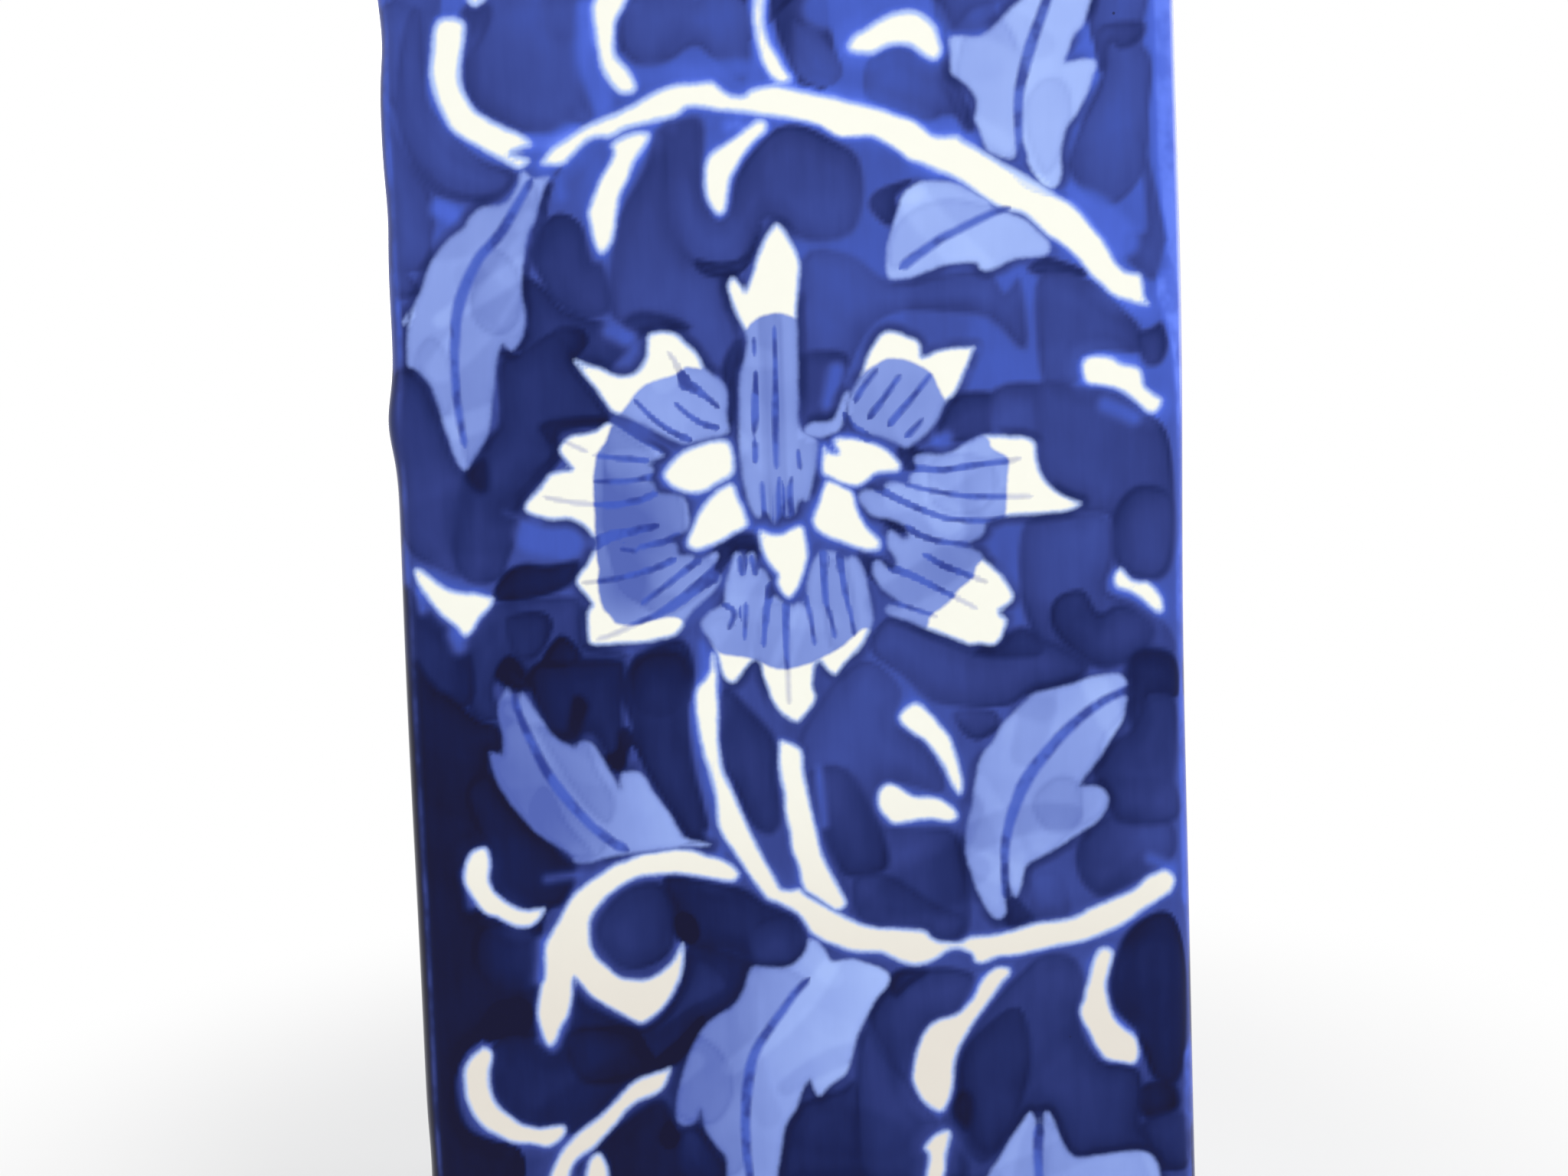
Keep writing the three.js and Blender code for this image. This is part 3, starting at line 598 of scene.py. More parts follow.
patches = [                         # depth of the cobalt, then the outline of the brush's patch
    (0.57, [-101, 153, -86, 150, -87, 140, -88, 130, -85, 124, -80, 118, -74, 113, -66, 110,
            -70, 104, -75, 103, -80, 103.5, -86, 105, -90, 109, -93, 114, -95, 120, -97, 128,
            -101, 130]),
    (0.59, [-92, 150, -88, 150, -88, 130, -84, 123, -75, 114, -67, 110, -70, 105, -78, 104,
            -86, 107, -90, 113, -94, 124, -95, 136]),
    (0.56, [-101, 130, -95.5, 120, -91, 111, -88, 106, -87, 100, -88, 95, -89, 88, -94, 86.5,
            -101, 90]),
    (0.57, [-99, 85, -96, 87, -93, 84, -92, 81.5, -95, 80, -99, 80.5]),
    (0.57, [-76, 153, -78, 140, -78.5, 133, -76, 127, -71, 123, -64, 120, -54, 119.5, -51, 122,
            -46, 123, -46, 153]),
    (0.61, [-77, 152, -77, 140, -74, 142, -71, 148, -71, 152]),
    (0.53, [-36, 152, -39, 145, -38, 139, -33, 135, -27, 136, -20, 140, -15, 136, -8, 131, -6, 140,
            -9, 152]),
    (0.64, [-66, 80, -63, 95, -60, 106, -55, 111, -58, 104, -59, 98, -63, 88]),
    (0.66, [-63, 88, -61, 95, -58, 99, -54, 99.5, -50, 96, -48, 88, -45, 86, -44, 75, -52, 74,
            -58, 78, -61, 83]),
    (0.69, [-66, 84, -61, 82, -56, 76, -50, 73.5, -45, 72, -37, 68, -34, 71, -48, 58, -54, 62,
            -60, 62, -68, 66, -66, 75]),
    (0.82, [-72, 65.5, -68.5, 65, -65, 62, -66, 60.5, -70, 62]),
    (0.80, [-59, 70.5, -52, 71, -50, 67, -55, 62, -57, 64]),
    (0.61, [-43, 90, -40, 100, -34, 110, -31, 119, -26, 121, -27, 110, -28, 100, -24, 89, -15, 83,
            -10, 80, -12, 70, -11, 61, -18, 58, -22, 62, -28, 70, -38, 70, -44, 75]),
    (0.60, [-29, 119.5, -25, 122, -19, 121.5, -19, 110, -19, 103, -16, 97, -13, 99, -11, 107,
            -6, 114, 0, 119, 6, 119.5, 13, 116, 20, 111, 21, 100, 17, 92, 6, 91, -3, 97, -8, 89,
            -11, 84, -18, 84, -25, 89, -29, 100]),
    (0.70, [-22, 87, -15, 86, -9, 88, -5, 95, -7, 88, -10, 83.5, -15, 82.5, -20, 83.5]),
    (0.72, [-41, 72, -36, 74.5, -28, 72.5, -24, 70, -30, 69.5, -38, 69]),
    (0.53, [4, 148, 6, 146, 11, 144, 14, 139, 17, 133, 14, 129, 8, 130, 5, 134, 3.5, 140]),
    (0.54, [22, 131, 24, 136, 30, 138.5, 37, 136.5, 42, 133, 46, 127, 48, 121, 42, 121, 38, 119.5,
            31, 122, 23, 125.5]),
    (0.60, [40, 133, 43, 133.5, 46, 128, 49.5, 118, 47, 117, 44, 123]),
    (0.56, [40, 152, 42, 148, 45, 142, 50, 146.5, 58, 149, 60, 153]),
    (0.54, [79, 152, 79, 140, 82, 132, 80, 125, 76, 117, 73, 108, 75, 102, 79, 98, 84, 97, 90, 102,
            93, 110, 93.5, 120, 94.5, 132, 92, 138, 94, 148, 94, 153]),
    (0.61, [81, 141, 92, 142, 92, 138, 87, 135.5, 84, 137, 83, 131, 81, 131]),
    (0.57, [91, 115, 95, 100, 97.5, 86, 96, 79, 93, 78, 90, 80, 86, 85, 87, 90, 92, 90, 92, 100]),
    (0.70, [22.5, 99, 25, 103, 33, 105, 29, 101, 30, 97, 27, 94]),
    (0.70, [62, 82, 66, 84.5, 72, 83, 77.5, 80, 66, 80]),
    (0.60, [65, 80, 77, 79, 84, 73, 90, 66, 90, 60, 78, 60, 74, 53, 66, 52, 64, 65]),
    (0.67, [89, 64, 93, 66, 95.5, 67, 97, 62, 95, 57, 91, 57]),
    (0.56, [5, 86, 17, 87, 28, 80, 50, 82, 56, 76, 60, 79, 61, 62, 52, 70, 40, 72, 28, 72, 20, 66,
            13, 50, 12, 43, 8, 41.5, 4, 44, 4, 60]),
    (0.64, [4, 62, 13, 63, 16, 60, 13, 50, 13, 44, 8, 41, 3, 45, 3.5, 52]),
    (0.66, [-101.5, 57, -97, 62.5, -92, 59, -88.5, 50, -86, 42, -82, 35, -84, 28, -86, 20, -85, 9,
            -91, 11.5, -98, 16, -101.5, 25]),
    (0.71, [-77, 43, -73, 48, -72.5, 62, -67, 65, -58, 70, -54, 62, -46, 50, -46, 47.5, -56, 45,
            -60, 42, -59, 38, -67, 33, -71, 28, -73, 25, -69, 22, -72, 14, -75, 8, -82, 7, -86, 12,
            -86, 22, -83, 33]),
    (0.84, [-82, 35, -79, 38, -77, 38, -77, 31, -80, 31]),
    (0.78, [-74, 27, -72, 29, -67, 33.5, -60, 40, -63, 47, -49, 48.5, -46, 46.5, -58, 45.5, -58, 38,
            -66, 30, -70, 24.5]),
    (0.84, [-76.5, 3, -74, 9, -69, 11.5, -62, 11, -55, 12, -56, 7, -60, 4.5, -68, 2.5]),
    (0.68, [-77, 2, -60, 3, -54, 1, -54, -9, -45, -11.5, -44, -14, -60, -14, -68, -18, -72, -14,
            -78, -20, -76, -28, -84, -26, -85, -10, -80, 0]),
    (0.73, [-74, -3, -71, -1, -64, -1, -62, -5, -66, -12, -72, -12]),
    (0.80, [-69, -18, -64, -13, -56, -13.5, -45, -14, -44, -18, -45, -28, -44, -40, -47, -42,
            -53, -33, -60, -34, -64, -31]),
    (0.77, [-42, -14, -38, -11.5, -30, -9, -27, -12, -26, -20, -28, -28, -27, -42, -24, -58,
            -27, -62, -31, -58, -40, -42, -43, -30, -45, -22]),
    (0.80, [-42, -16, -36, -12, -29, -13, -27, -20, -30, -27, -36, -29, -42, -26]),
    (0.86, [-65, -14, -60, -7, -55, -12, -58, -15]),
    (0.88, [-77, -17, -74, -12, -71, -14, -68, -20, -72, -21]),
    (0.88, [-59, -30, -57, -23, -54, -25, -55, -29, -57, -34, -61, -34, -65, -31, -60, -32]),
    (0.88, [-50, -39, -47, -37, -46, -32, -43, -32, -40, -40, -43, -36, -46, -43]),
    (0.80, [-101, 5, -96, 4, -90, -3, -84, -8, -84, -24, -101, -24]),
    (0.89, [-101, -22, -92, -20, -82, -28, -77, -30, -76, -37, -80, -40, -74, -52, -62, -64,
            -59, -68, -62, -76, -66, -78, -68, -84, -68, -96, -71, -104, -71, -112, -78, -110,
            -84, -111, -90, -116, -92, -124, -90, -134, -84, -138, -76, -141, -78, -152,
            -101, -152]),
    (0.84, [-86, -46, -80, -42, -72, -53, -62, -64, -59, -69, -63, -76, -68, -77, -74, -77,
            -80, -71, -80, -62, -84, -56]),
    (0.80, [-84, -82, -76, -82, -68, -86, -68, -96, -74, -99, -83, -97, -86, -90]),
    (0.98, [-83, -105, -80, -102, -74, -101.5, -71, -104, -73, -109, -79, -111, -84, -111.5]),
    (0.78, [-82, -113, -76, -110, -70, -113, -66, -116, -62, -110, -60, -100, -56, -104,
            -45, -109.5, -39, -108, -33, -100, -31, -90, -28, -88, -18, -91, -13, -95, -18, -103,
            -26, -109, -32, -117, -40, -121, -48, -125, -55, -132, -62, -137, -72, -135, -80, -130,
            -83, -122]),
    (0.83, [-63, -112, -58, -109, -46, -110, -42, -115, -40, -121, -50, -124, -58, -124,
            -62, -119]),
    (0.71, [-42, -113, -36, -106, -31, -98, -29, -92, -24, -93, -20, -100, -28, -105]),
    (0.92, [-40, -119, -33, -113, -27, -107, -29, -112, -33, -118, -38, -121]),
    (0.78, [-36, -71, -28, -71, -16, -74, -10, -78, -4, -81, 0, -86, -1, -92, -7, -95.5, -14, -93,
            -20, -90, -28, -89, -31, -87, -33, -80]),
    (0.70, [-12, -83, -4, -81, 0, -86, -1, -92, -7, -95.5, -13, -93, -14, -88]),
    (0.71, [-54, -84, -51, -78, -45, -73, -37, -72, -33, -78, -33, -84, -35, -90, -40, -93.5,
            -46, -94.3, -51, -91]),
    (0.98, [-33, -81, -30, -80.5, -28, -83, -28, -87, -31, -88, -33, -86]),
    (0.72, [-19, -22, -12, -28, -6, -36, -6, -46, -5, -56, -8, -60, -13, -57, -17, -47, -20, -40]),
    (0.86, [-56, -141, -48, -134, -39, -129, -36, -134, -35, -138, -29, -137, -25, -144, -21, -152,
            -54, -153]),
    (0.72, [-34, -138, -30, -137, -26, -143, -23, -149, -28, -152, -34, -148]),
    (0.97, [-39, -139, -37, -135, -35, -139, -37, -141.5]),
    (0.74, [-8, -152, -7, -140, -3, -132, 1, -130, 8, -128, 12, -126, 14, -134, 16, -152]),
    (0.68, [38, 40, 40, 47, 44, 51, 52, 51, 56, 47, 53, 41, 47, 39]),
    (0.59, [53, 52, 66, 52, 66, 40, 60, 39, 52, 41]),
    (0.62, [64, 53, 74, 52, 82, 52, 90, 46, 96, 40, 98, 28, 98, 12, 96, 4, 91, 2, 84, 5, 82, 18,
            75, 20, 68, 24, 64, 32, 63, 40]),
    (0.65, [82, 18, 83, 6, 91, 2.5, 96, 5, 98, 14, 97, 24, 88, 26]),
    (0.59, [60, 18, 72, 20, 81, 18, 82, 8, 80, 0, 88, -4, 96, -10, 98, -17, 88, -18, 78, -20,
            66, -16, 60, -8, 58, 4]),
    (0.67, [67, -2, 74, 0, 78, -6, 84, -4, 92, -9, 90, -16, 80, -20, 72, -16, 66, -9]),
    (0.63, [19.5, -14, 21, -8, 25, -5, 31, -7, 38, -11, 45, -14, 54, -14, 62, -12, 70, -15, 75, -20,
            70, -24, 60, -26, 54, -29, 44, -29, 34, -27, 28, -21]),
    (0.62, [40, -30, 50, -30, 52, -34, 47, -37.5, 43, -36]),
    (0.72, [55, -10, 59, -9, 63, -12, 62, -16.5, 46, -15.5]),
    (0.76, [85, -19, 90, -15.5, 98, -18, 99, -28, 91, -28, 89, -36, 86, -36, 85, -26]),
    (0.68, [76, -46, 80, -40, 86, -36, 91, -28, 98, -30, 97, -50, 94, -53, 84, -54, 78, -52]),
    (0.60, [0, -36, 6, -26, 11, -20, 19, -16, 27, -24, 25, -32, 32, -38, 37, -46, 36, -51, 25, -48,
            19, -52, 21, -59, 32, -60, 40, -62, 43, -76, 42, -88, 36, -90, 28, -87, 14, -84,
            10, -76, 4, -56, 2, -44]),
    (0.68, [2, -45, 12, -44, 20, -58, 22, -70, 12, -72, 8, -66, 4, -55]),
    (0.65, [13, -73, 22, -72, 34, -80, 42, -84, 38, -90, 28, -87, 15, -84]),
    (0.64, [71, -68, 74, -62, 82, -58, 95, -60, 97, -68, 92, -73, 84, -77, 77, -79.5, 72, -75]),
    (0.56, [58, -78, 60, -73, 66, -73, 69, -79, 68, -85, 60, -85.5]),
    (0.70, [52, -85, 53, -79, 56, -80, 60, -86, 54, -87]),
    (0.66, [80, -50, 96, -50, 97.5, -60, 82, -60]),
    (0.66, [16, -109, 22, -98, 30, -97, 38, -97, 44, -100, 41, -108, 33, -111, 28, -118, 26, -127,
            20, -119]),
    (0.76, [22, -100, 25, -97, 32, -97.5, 27, -101, 23, -104]),
    (0.82, [79, -100, 82, -92, 86, -87, 93, -84, 97, -88, 99.5, -100, 99, -118, 96, -129, 90, -128,
            87, -120, 84, -114, 79.5, -108]),
    (0.84, [85, -132, 89, -129, 95, -130, 96, -136, 90, -139, 86, -137]),
    (0.73, [86, -140, 96, -137, 100, -142, 99, -152, 90, -152, 88, -147]),
    (0.68, [38, -124, 42, -115, 50, -105, 56, -99, 62, -94.5, 70, -96, 73, -106, 71, -114, 76, -123,
            86, -126, 86, -140, 88, -147, 68, -148.5, 63, -138, 58, -136, 50, -145, 44, -149,
            38, -142, 34, -137, 38, -132]),
    (0.74, [40, -120, 46, -113, 55, -108, 58, -120, 55, -134, 48, -146, 42, -144, 39, -132]),
    (0.87, [37, -135, 39, -130, 42, -131, 42, -137, 40, -140]),
    (0.66, [14, -152, 12, -126, 15, -112, 20, -119, 27, -128, 33, -137, 40, -147, 38, -153]),
    (0.80, [-19, 17, -14, 18, -9, 17, -8, 13, -10, 11, -13, 13.5, -18, 10.5]),
    (0.74, [22, 23, 27, 22, 33, 19, 30, 16, 25, 18]),
    (0.76, [17, 12, 22, 10, 27, 6, 24, 4, 20, 5, 18, 8]),
    (0.70, [28, 38, 32, 38, 35, 35, 31, 32, 28, 34]),
    (0.72, [-16, 60, -13, 66, -11, 66, -12, 58, -13, 47, -15, 46, -16, 52]),
    (0.72, [-20, 14, -15, 14, -18, 8, -21, 6, -24, 8]),
]

thinPlaces = [                      # half width in mm, depth of the cobalt, the stroke's line
    (3.0, 0.34, [-46.5, 150, -47, 138, -44, 127]),
    (2.6, 0.34, [-62, 117.5, -57, 117.5, -52, 119.5]),
    (2.6, 0.40, [-35, 133, -20, 134, -8, 134]),
    (5.0, 0.42, [12, 148, 20, 146]),
    (4.5, 0.36, [72, 99, 80, 95, 86, 88]),
    (2.6, 0.34, [-86, 102, -83, 100.5]),
    (5.0, 0.42, [-66, 19, -58, 17]),
    (2.0, 0.40, [38, 39.5, 40, 40]),
    (2.2, 0.42, [81, 47, 88, 43.5]),
    (2.0, 0.34, [-38, 112, -34.5, 117]),
    (1.8, 0.28, [-12, 120, -10, 120.3]),
    (2.4, 0.40, [13, 58, 11, 50]),
    (1.6, 0.40, [-96, 5, -95, 1]),
    (2.4, 0.44, [-87, -6, -86, -9]),
    (0.9, 0.36, [-23.6, -7, -23.8, -18]),
    (2.4, 0.38, [-44, 70, -40, 68]),
    (1.6, 0.40, [-60, 112, -56, 108, -55, 104]),
    (1.5, 0.38, [-9, 118, -4, 119.5]),
    (1.8, 0.42, [50, 96, 58, 93]),
    (1.5, 0.44, [-87, -68, -86, -76]),
    (1.4, 0.46, [-66, -70, -58, -69]),
    (1.5, 0.42, [-68, -86, -69, -96]),
    (1.4, 0.45, [-24, -60, -21, -64]),
    (1.2, 0.40, [5, -44, 6, -58]),
    (1.8, 0.44, [46, -100, 42, -108]),
    (1.6, 0.46, [80, -113, 84, -116]),
    (1.6, 0.44, [90, -70, 96, -73]),
    (1.6, 0.42, [60, -92, 74, -89]),
    (1.2, 0.45, [-46, -44, -42, -43]),
]

washes = [                          # over part of a petal or leaf: density added, its outline
    (0.20, [-45, 46, -46.5, 42, -47.3, 38, -47.5, 32, -47.5, 26, -47.3, 17, -45.5, 9, -43, 4,
            -38, -0.5, -33, -3, -24, 2, -18, 8, -26, 16, -28, 28, -34, 38, -40, 43]),
    (0.20, [-62, 108, -66, 103, -70, 98, -75, 92, -79, 86, -82, 80, -83.5, 72, -84, 60, -83, 48,
            -82, 38, -78, 38, -72, 50, -70, 62, -63, 68, -62, 80, -60, 98]),
    (0.12, [-77, 88, -74, 92, -68, 88, -66, 80, -68, 72, -74, 70, -79, 76]),
    (0.10, [-86, 66, -90, 70, -94, 64, -90, 54, -86, 50, -84, 58]),
    (0.14, [49, 144, 54, 146, 60, 140, 62, 128, 60, 112, 54, 108, 49, 114, 48, 124, 45, 130]),
    (0.10, [62, 120, 66, 128, 72, 128, 74, 120, 70, 108, 66, 106]),
    (0.14, [28, 92, 34, 98, 44, 100, 54, 97, 50, 94.5, 40, 90, 31, 84, 27, 84]),
    (0.14, [-76, -24, -72, -24, -69, -34, -63, -46, -56, -56, -50, -61, -56, -66, -64, -62,
            -72, -54, -78, -44, -80, -36]),
    (0.12, [-67, -30, -62, -40, -56, -50, -50, -56, -48, -50, -52, -42, -55, -34, -60, -33]),
    (0.12, [-66, -46, -60, -56, -54, -64, -62, -64, -70, -56]),
    (0.14, [86, -25.6, 75, -31, 66, -39, 59, -47.5, 55, -56, 52.5, -66, 52.3, -80, 60, -76, 68, -64,
            78, -58, 80, -50, 78, -40, 86, -30]),
    (0.10, [60, -54, 64, -62, 72, -60, 72, -50, 66, -48]),
    (0.14, [0, -99, -6, -106, -13, -115.5, -16, -125, -17, -145, -24, -150, -36, -140, -34, -120,
            -26, -106, -12, -94]),
    (0.12, [-30, -112, -22, -118, -20, -128, -26, -136, -36, -132, -36, -120]),
    (0.10, [59.5, -138, 59, -148, 62, -166, 76, -176, 92, -160, 90, -146, 70, -146, 64, -140]),
    (0.14, [-6, 73, -1, 72, -1, 52, -1, 34, 0, 22, -5, 21, -6, 40, -6, 60]),
    (0.10, [36, 34, 44, 36, 52, 33, 52, 24, 44, 20, 36, 24]),
    (0.10, [-8, -2, -2, -2, -2, -16, -10, -15]),
    (0.10, [8, 8, 14, 8, 16, -10, 9, -12]),
]


def throughPoints(numbers, closed=True, steps=5):
    points = np.array(numbers, float).reshape(-1, 2)
    if closed:
        ring = np.concatenate([points[-1:], points, points[:2]])
    else:
        ring = np.concatenate([points[:1], points, points[-1:]])
    before, here, after, beyond = ring[:-3], ring[1:-2], ring[2:-1], ring[3:]
    curve = []
    for t in np.arange(steps) / steps:
        bend = 2 * before - 5 * here + 4 * after - beyond
        twist = -before + 3 * here - 3 * after + beyond
        curve.append(0.5 * (2 * here + (after - before) * t + bend * t ** 2 + twist * t ** 3))
    curve = np.stack(curve, axis=1).reshape(-1, 2)
    return curve if closed else np.concatenate([curve, points[-1:]])


def nearLine(spots, start, end):    # each spot's distance from a piece of line, and where along
    along = end - start
    length = max(float(along @ along), 1e-9)
    where = np.clip(((spots - start) @ along) / length, 0, 1)
    return np.hypot(*(spots - start - where[:, None] * along).T), where


def insideBy(spots, outline):       # mm inside a closed outline, negative outside it
    nearest = np.full(len(spots), 1e6)
    inside = np.zeros(len(spots), bool)
    x, z = spots.T
    for start, end in zip(outline, np.roll(outline, -1, axis=0)):
        nearest = np.minimum(nearest, nearLine(spots, start, end)[0])
        if start[1] != end[1]:
            crossing = start[0] + (z - start[1]) * (end[0] - start[0]) / (end[1] - start[1])
            inside ^= ((start[1] > z) != (end[1] > z)) & (x < crossing)
    return np.where(inside, nearest, -nearest)


def underStroke(spots, line, radii):    # mm inside a brush stroke whose half width changes along it
    best = np.full(len(spots), -1e6)
    for index in range(len(line) - 1):
        distance, where = nearLine(spots, line[index], line[index + 1])
        radius = radii[index] + where * (radii[index + 1] - radii[index])
        best = np.maximum(best, radius - distance)
    return best


veinShape = {
    'leafApart': 1.1,               # mm beside a vein's edge where its width still holds
    'petalApart': 0.4,
    'leastReach': 1.25,             # mm, more than the wall's grid, so that no vein breaks up
    'tip': 0.5,                     # how fast a vein narrows past its end
    'fallOff': 5,                   # and beside its reach
    'near': 3.5,                    # mm round a vein where it is worked out
}


def alongLine(spots, line, radii, apart, best, side, wide):
    # Keeps the nearest line's offset to one side, and its half width. The width falls off fast
    # away from the line, because the offset changes sign half way between two lines.
    last = len(line) - 2
    for index in range(last + 1):
        start, end = line[index], line[index + 1]
        length = np.hypot(*(end - start))
        ahead = (end - start) / length
        away = spots - start
        along = away @ ahead
        offset = away[:, 0] * ahead[1] - away[:, 1] * ahead[0]
        where = np.clip(along / length, 0, 1)
        past = np.abs(along - where * length)
        distance = np.hypot(offset, past)
        radius = radii[index] + where * (radii[index + 1] - radii[index])
        nearer = distance < best
        best[nearer] = distance[nearer]
        atTip = index in (0, last)
        side[nearer] = (offset if atTip else np.copysign(distance, offset))[nearer]
        beyond = np.maximum(distance - np.maximum(radius + apart, veinShape['leastReach']), 0)
        width = radius - past * veinShape['tip'] - beyond * veinShape['fallOff']
        wide[nearer] = width[nearer]


def smooth(low, high, value):
    t = np.clip((value - low) / (high - low), 0, 1)
    return t * t * (3 - 2 * t)


class Sheet:                        # the painted face: one number of each kind for every spot
    def __init__(self, spots):
        self.spots = spots
        self.far = -9.0

    def blank(self):
        return np.full(len(self.spots), self.far)

    def add(self, layer, low, high, reach, measure):
        low, high = np.array(low) - reach, np.array(high) + reach
        near = np.all((self.spots > low) & (self.spots < high), axis=1)
        if near.any():
            layer[near] = np.maximum(layer[near], measure(self.spots[near]))

    def addOutline(self, layer, outline, reach=8.0):
        self.add(layer, outline.min(0), outline.max(0), reach, lambda s: insideBy(s, outline))

    def addStroke(self, layer, line, radii, reach=4.0):
        widest = max(radii) + reach
        self.add(layer, line.min(0), line.max(0), widest, lambda s: underStroke(s, line, radii))


# Parts of the scroll that come again above and below the flower: shape, scale, turn in degrees,
# mirrored or not, and where its own middle goes
repeats = [
    ('leafLeft', 0.8, -62, False, (-66, 183)),
    ('commaMiddle', 1.0, 150, True, (-20, 166)),
    ('commaLeft', 0.9, 70, False, (-14, 196)),
    ('archLeaf', 1.0, 12, True, (-66, 160)),
    ('leafInner', 0.85, 35, False, (42, 190)),
    ('crookRight', 0.9, 60, False, (28, 160)),
    ('tearLowerRight', 0.75, -20, False, (62, 184)),
    ('arcLeft', 0.9, 180, False, (90, 192)),
    ('bendLowerRight', 0.8, 10, True, (-91, 196)),
    ('curl', 0.8, 180, False, (20, -186)),
    ('leafLowLeft', 0.75, 75, False, (-70, -190)),
    ('commaRight', 1.2, 20, False, (-30, -190)),
    ('arcLowerLeft', 0.9, 100, False, (88, -188)),
    ('commaMiddle', 0.9, -60, False, (50, -196)),
    ('commaUpperRight', 0.9, -30, True, (-93, -158)),
    ('commaLeft', 0.8, 20, False, (34, -153)),
]
allShapes = {**whites, **heart, **leaves, **petals}


def movedOutline(name, scale, turn, mirrored, middle):
    outline = throughPoints(allShapes[name])
    outline = (outline - (outline.min(0) + outline.max(0)) / 2) * scale
    if mirrored:
        outline[:, 0] *= -1
    c, s = cos(radians(turn)), sin(radians(turn))
    return outline @ np.array([[c, s], [-s, c]]) + middle


ground = {
    'lineTop': 212.0,               # mm, a cobalt line below the rim, and one above the foot
    'lineBottom': -212.5,
    'lineWidth': 2.2,
    'clear': 5.0,                   # bare glaze between a line and the scroll
    'strokes': 240,                 # loose brush strokes over the whole ground
    'strokeLength': (24, 60),
    'strokeRadius': (5.5, 9.0),
    'washStrokes': 260,
    'washLength': (18, 44),
    'washRadius': (2.6, 5.5),
    'washStrength': 0.8,
    'washRim': 0.07,                # the fine dark rim where a wash dried
    'washSpread': 0.24,             # from the palest loose wash to the densest
    'middle': 152,                  # mm up and down that the patches cover
    'depth': 0.56,                  # of the bare ground, before any stroke
    'litPalerUp': 0.0007,              # painted light: paler by this for each mm up, and by the next for each mm to the right
    'litPalerRight': 0.0004,
    'uneven': 0.03,
    'strokeDepth': 0.55,
    'strokeSpread': 0.25,           # from the palest stroke to the deepest
    'strokeLitFade': 0.0005,           # painted light: paler by this for each mm to the right and up
    'strokePoints': 7,
    'softness': 1.1,                # mm, half the width of a stroke's soft edge
    'softChange': 0.7,
    'strokeGap': 1.2,               # mm that strokes and patches keep from the scroll
    'patchGap': 0.3,
    'rim': 0.07,                    # the darker rim where a patch dried
    'rimInside': 0.6,               # mm from the edge
    'rimWidth': 0.8,
    'edgeDeeper': 0.045,            # a patch is deeper by this at its edge
    'middlePaler': 0.05,            # and this much paler further in
    'middleFrom': 7,                # mm
    'streakDepth': 0.05,            # of the thin strokes over everything
    'thinning': 0.8,                # how far a thin place goes to its own depth
    'contrast': 1.12,               # between the thin and the deep cobalt
    'contrastMiddle': 0.6,
    'drying': 0.055,                # how much a patch changes from its middle to its end
    'shadeLowLeft': 0.04,               # painted shade: deeper by this at the lower left
    'seed': 41,
}


def looseStrokes(count, seed, length, radius, points):      # lines and half widths, all over
    rng = np.random.default_rng(seed)
    strokes = []
    share = np.linspace(-1, 1, points)
    for _ in range(count):
        middle = rng.uniform((-100, -216), (100, 216))
        angle = rng.uniform(0, pi) + rng.uniform(-0.45, 0.45) * share
        steps = np.stack([np.cos(angle), np.sin(angle)], axis=1)
        steps = steps * rng.uniform(*length) / (points - 1)
        line = middle + np.cumsum(steps, axis=0) - steps.sum(0) / 2
        strokes.append((line, rng.uniform(*radius) * (1 - 0.25 * share ** 2), rng.uniform()))
    return strokes


def paintWashes(sheet, tone, turns, g):
    for added, outline in washes:
        wash = sheet.blank()
        sheet.addOutline(wash, throughPoints(outline, steps=4), reach=2)
        rim = np.exp(-((wash - 0.3) / 0.8) ** 2)
        tone = tone + g['washStrength'] * added * smooth(-0.8, 0.8, wash) + g['washRim'] * rim
    seed = g['seed'] + 1 + 10 * turns
    shape = g['washLength'], g['washRadius'], g['strokePoints']
    strokes = looseStrokes(g['washStrokes'], seed, *shape)
    for line, radii, chance in strokes:
        wash = sheet.blank()
        sheet.addStroke(wash, line, radii, reach=2)
        added = g['washSpread'] * chance - g['washSpread'] / 2
        tone = tone + added * smooth(-1.0, 1.0, wash)
    return tone


# Shapes that nearly touch others go in a layer of their own, so that the gap stays sharp
secondLayer = {
    'lowerLeft', 'lowerRight', 'secondStem', 'commaLeft', 'commaMiddle', 'curl', 'hookLeft',
    'lowSpur', 'petalUpperLeft', 'petalUpperRight', 'petalBottom', 'leafBottom', 'stemWash',
    'joinWash'}


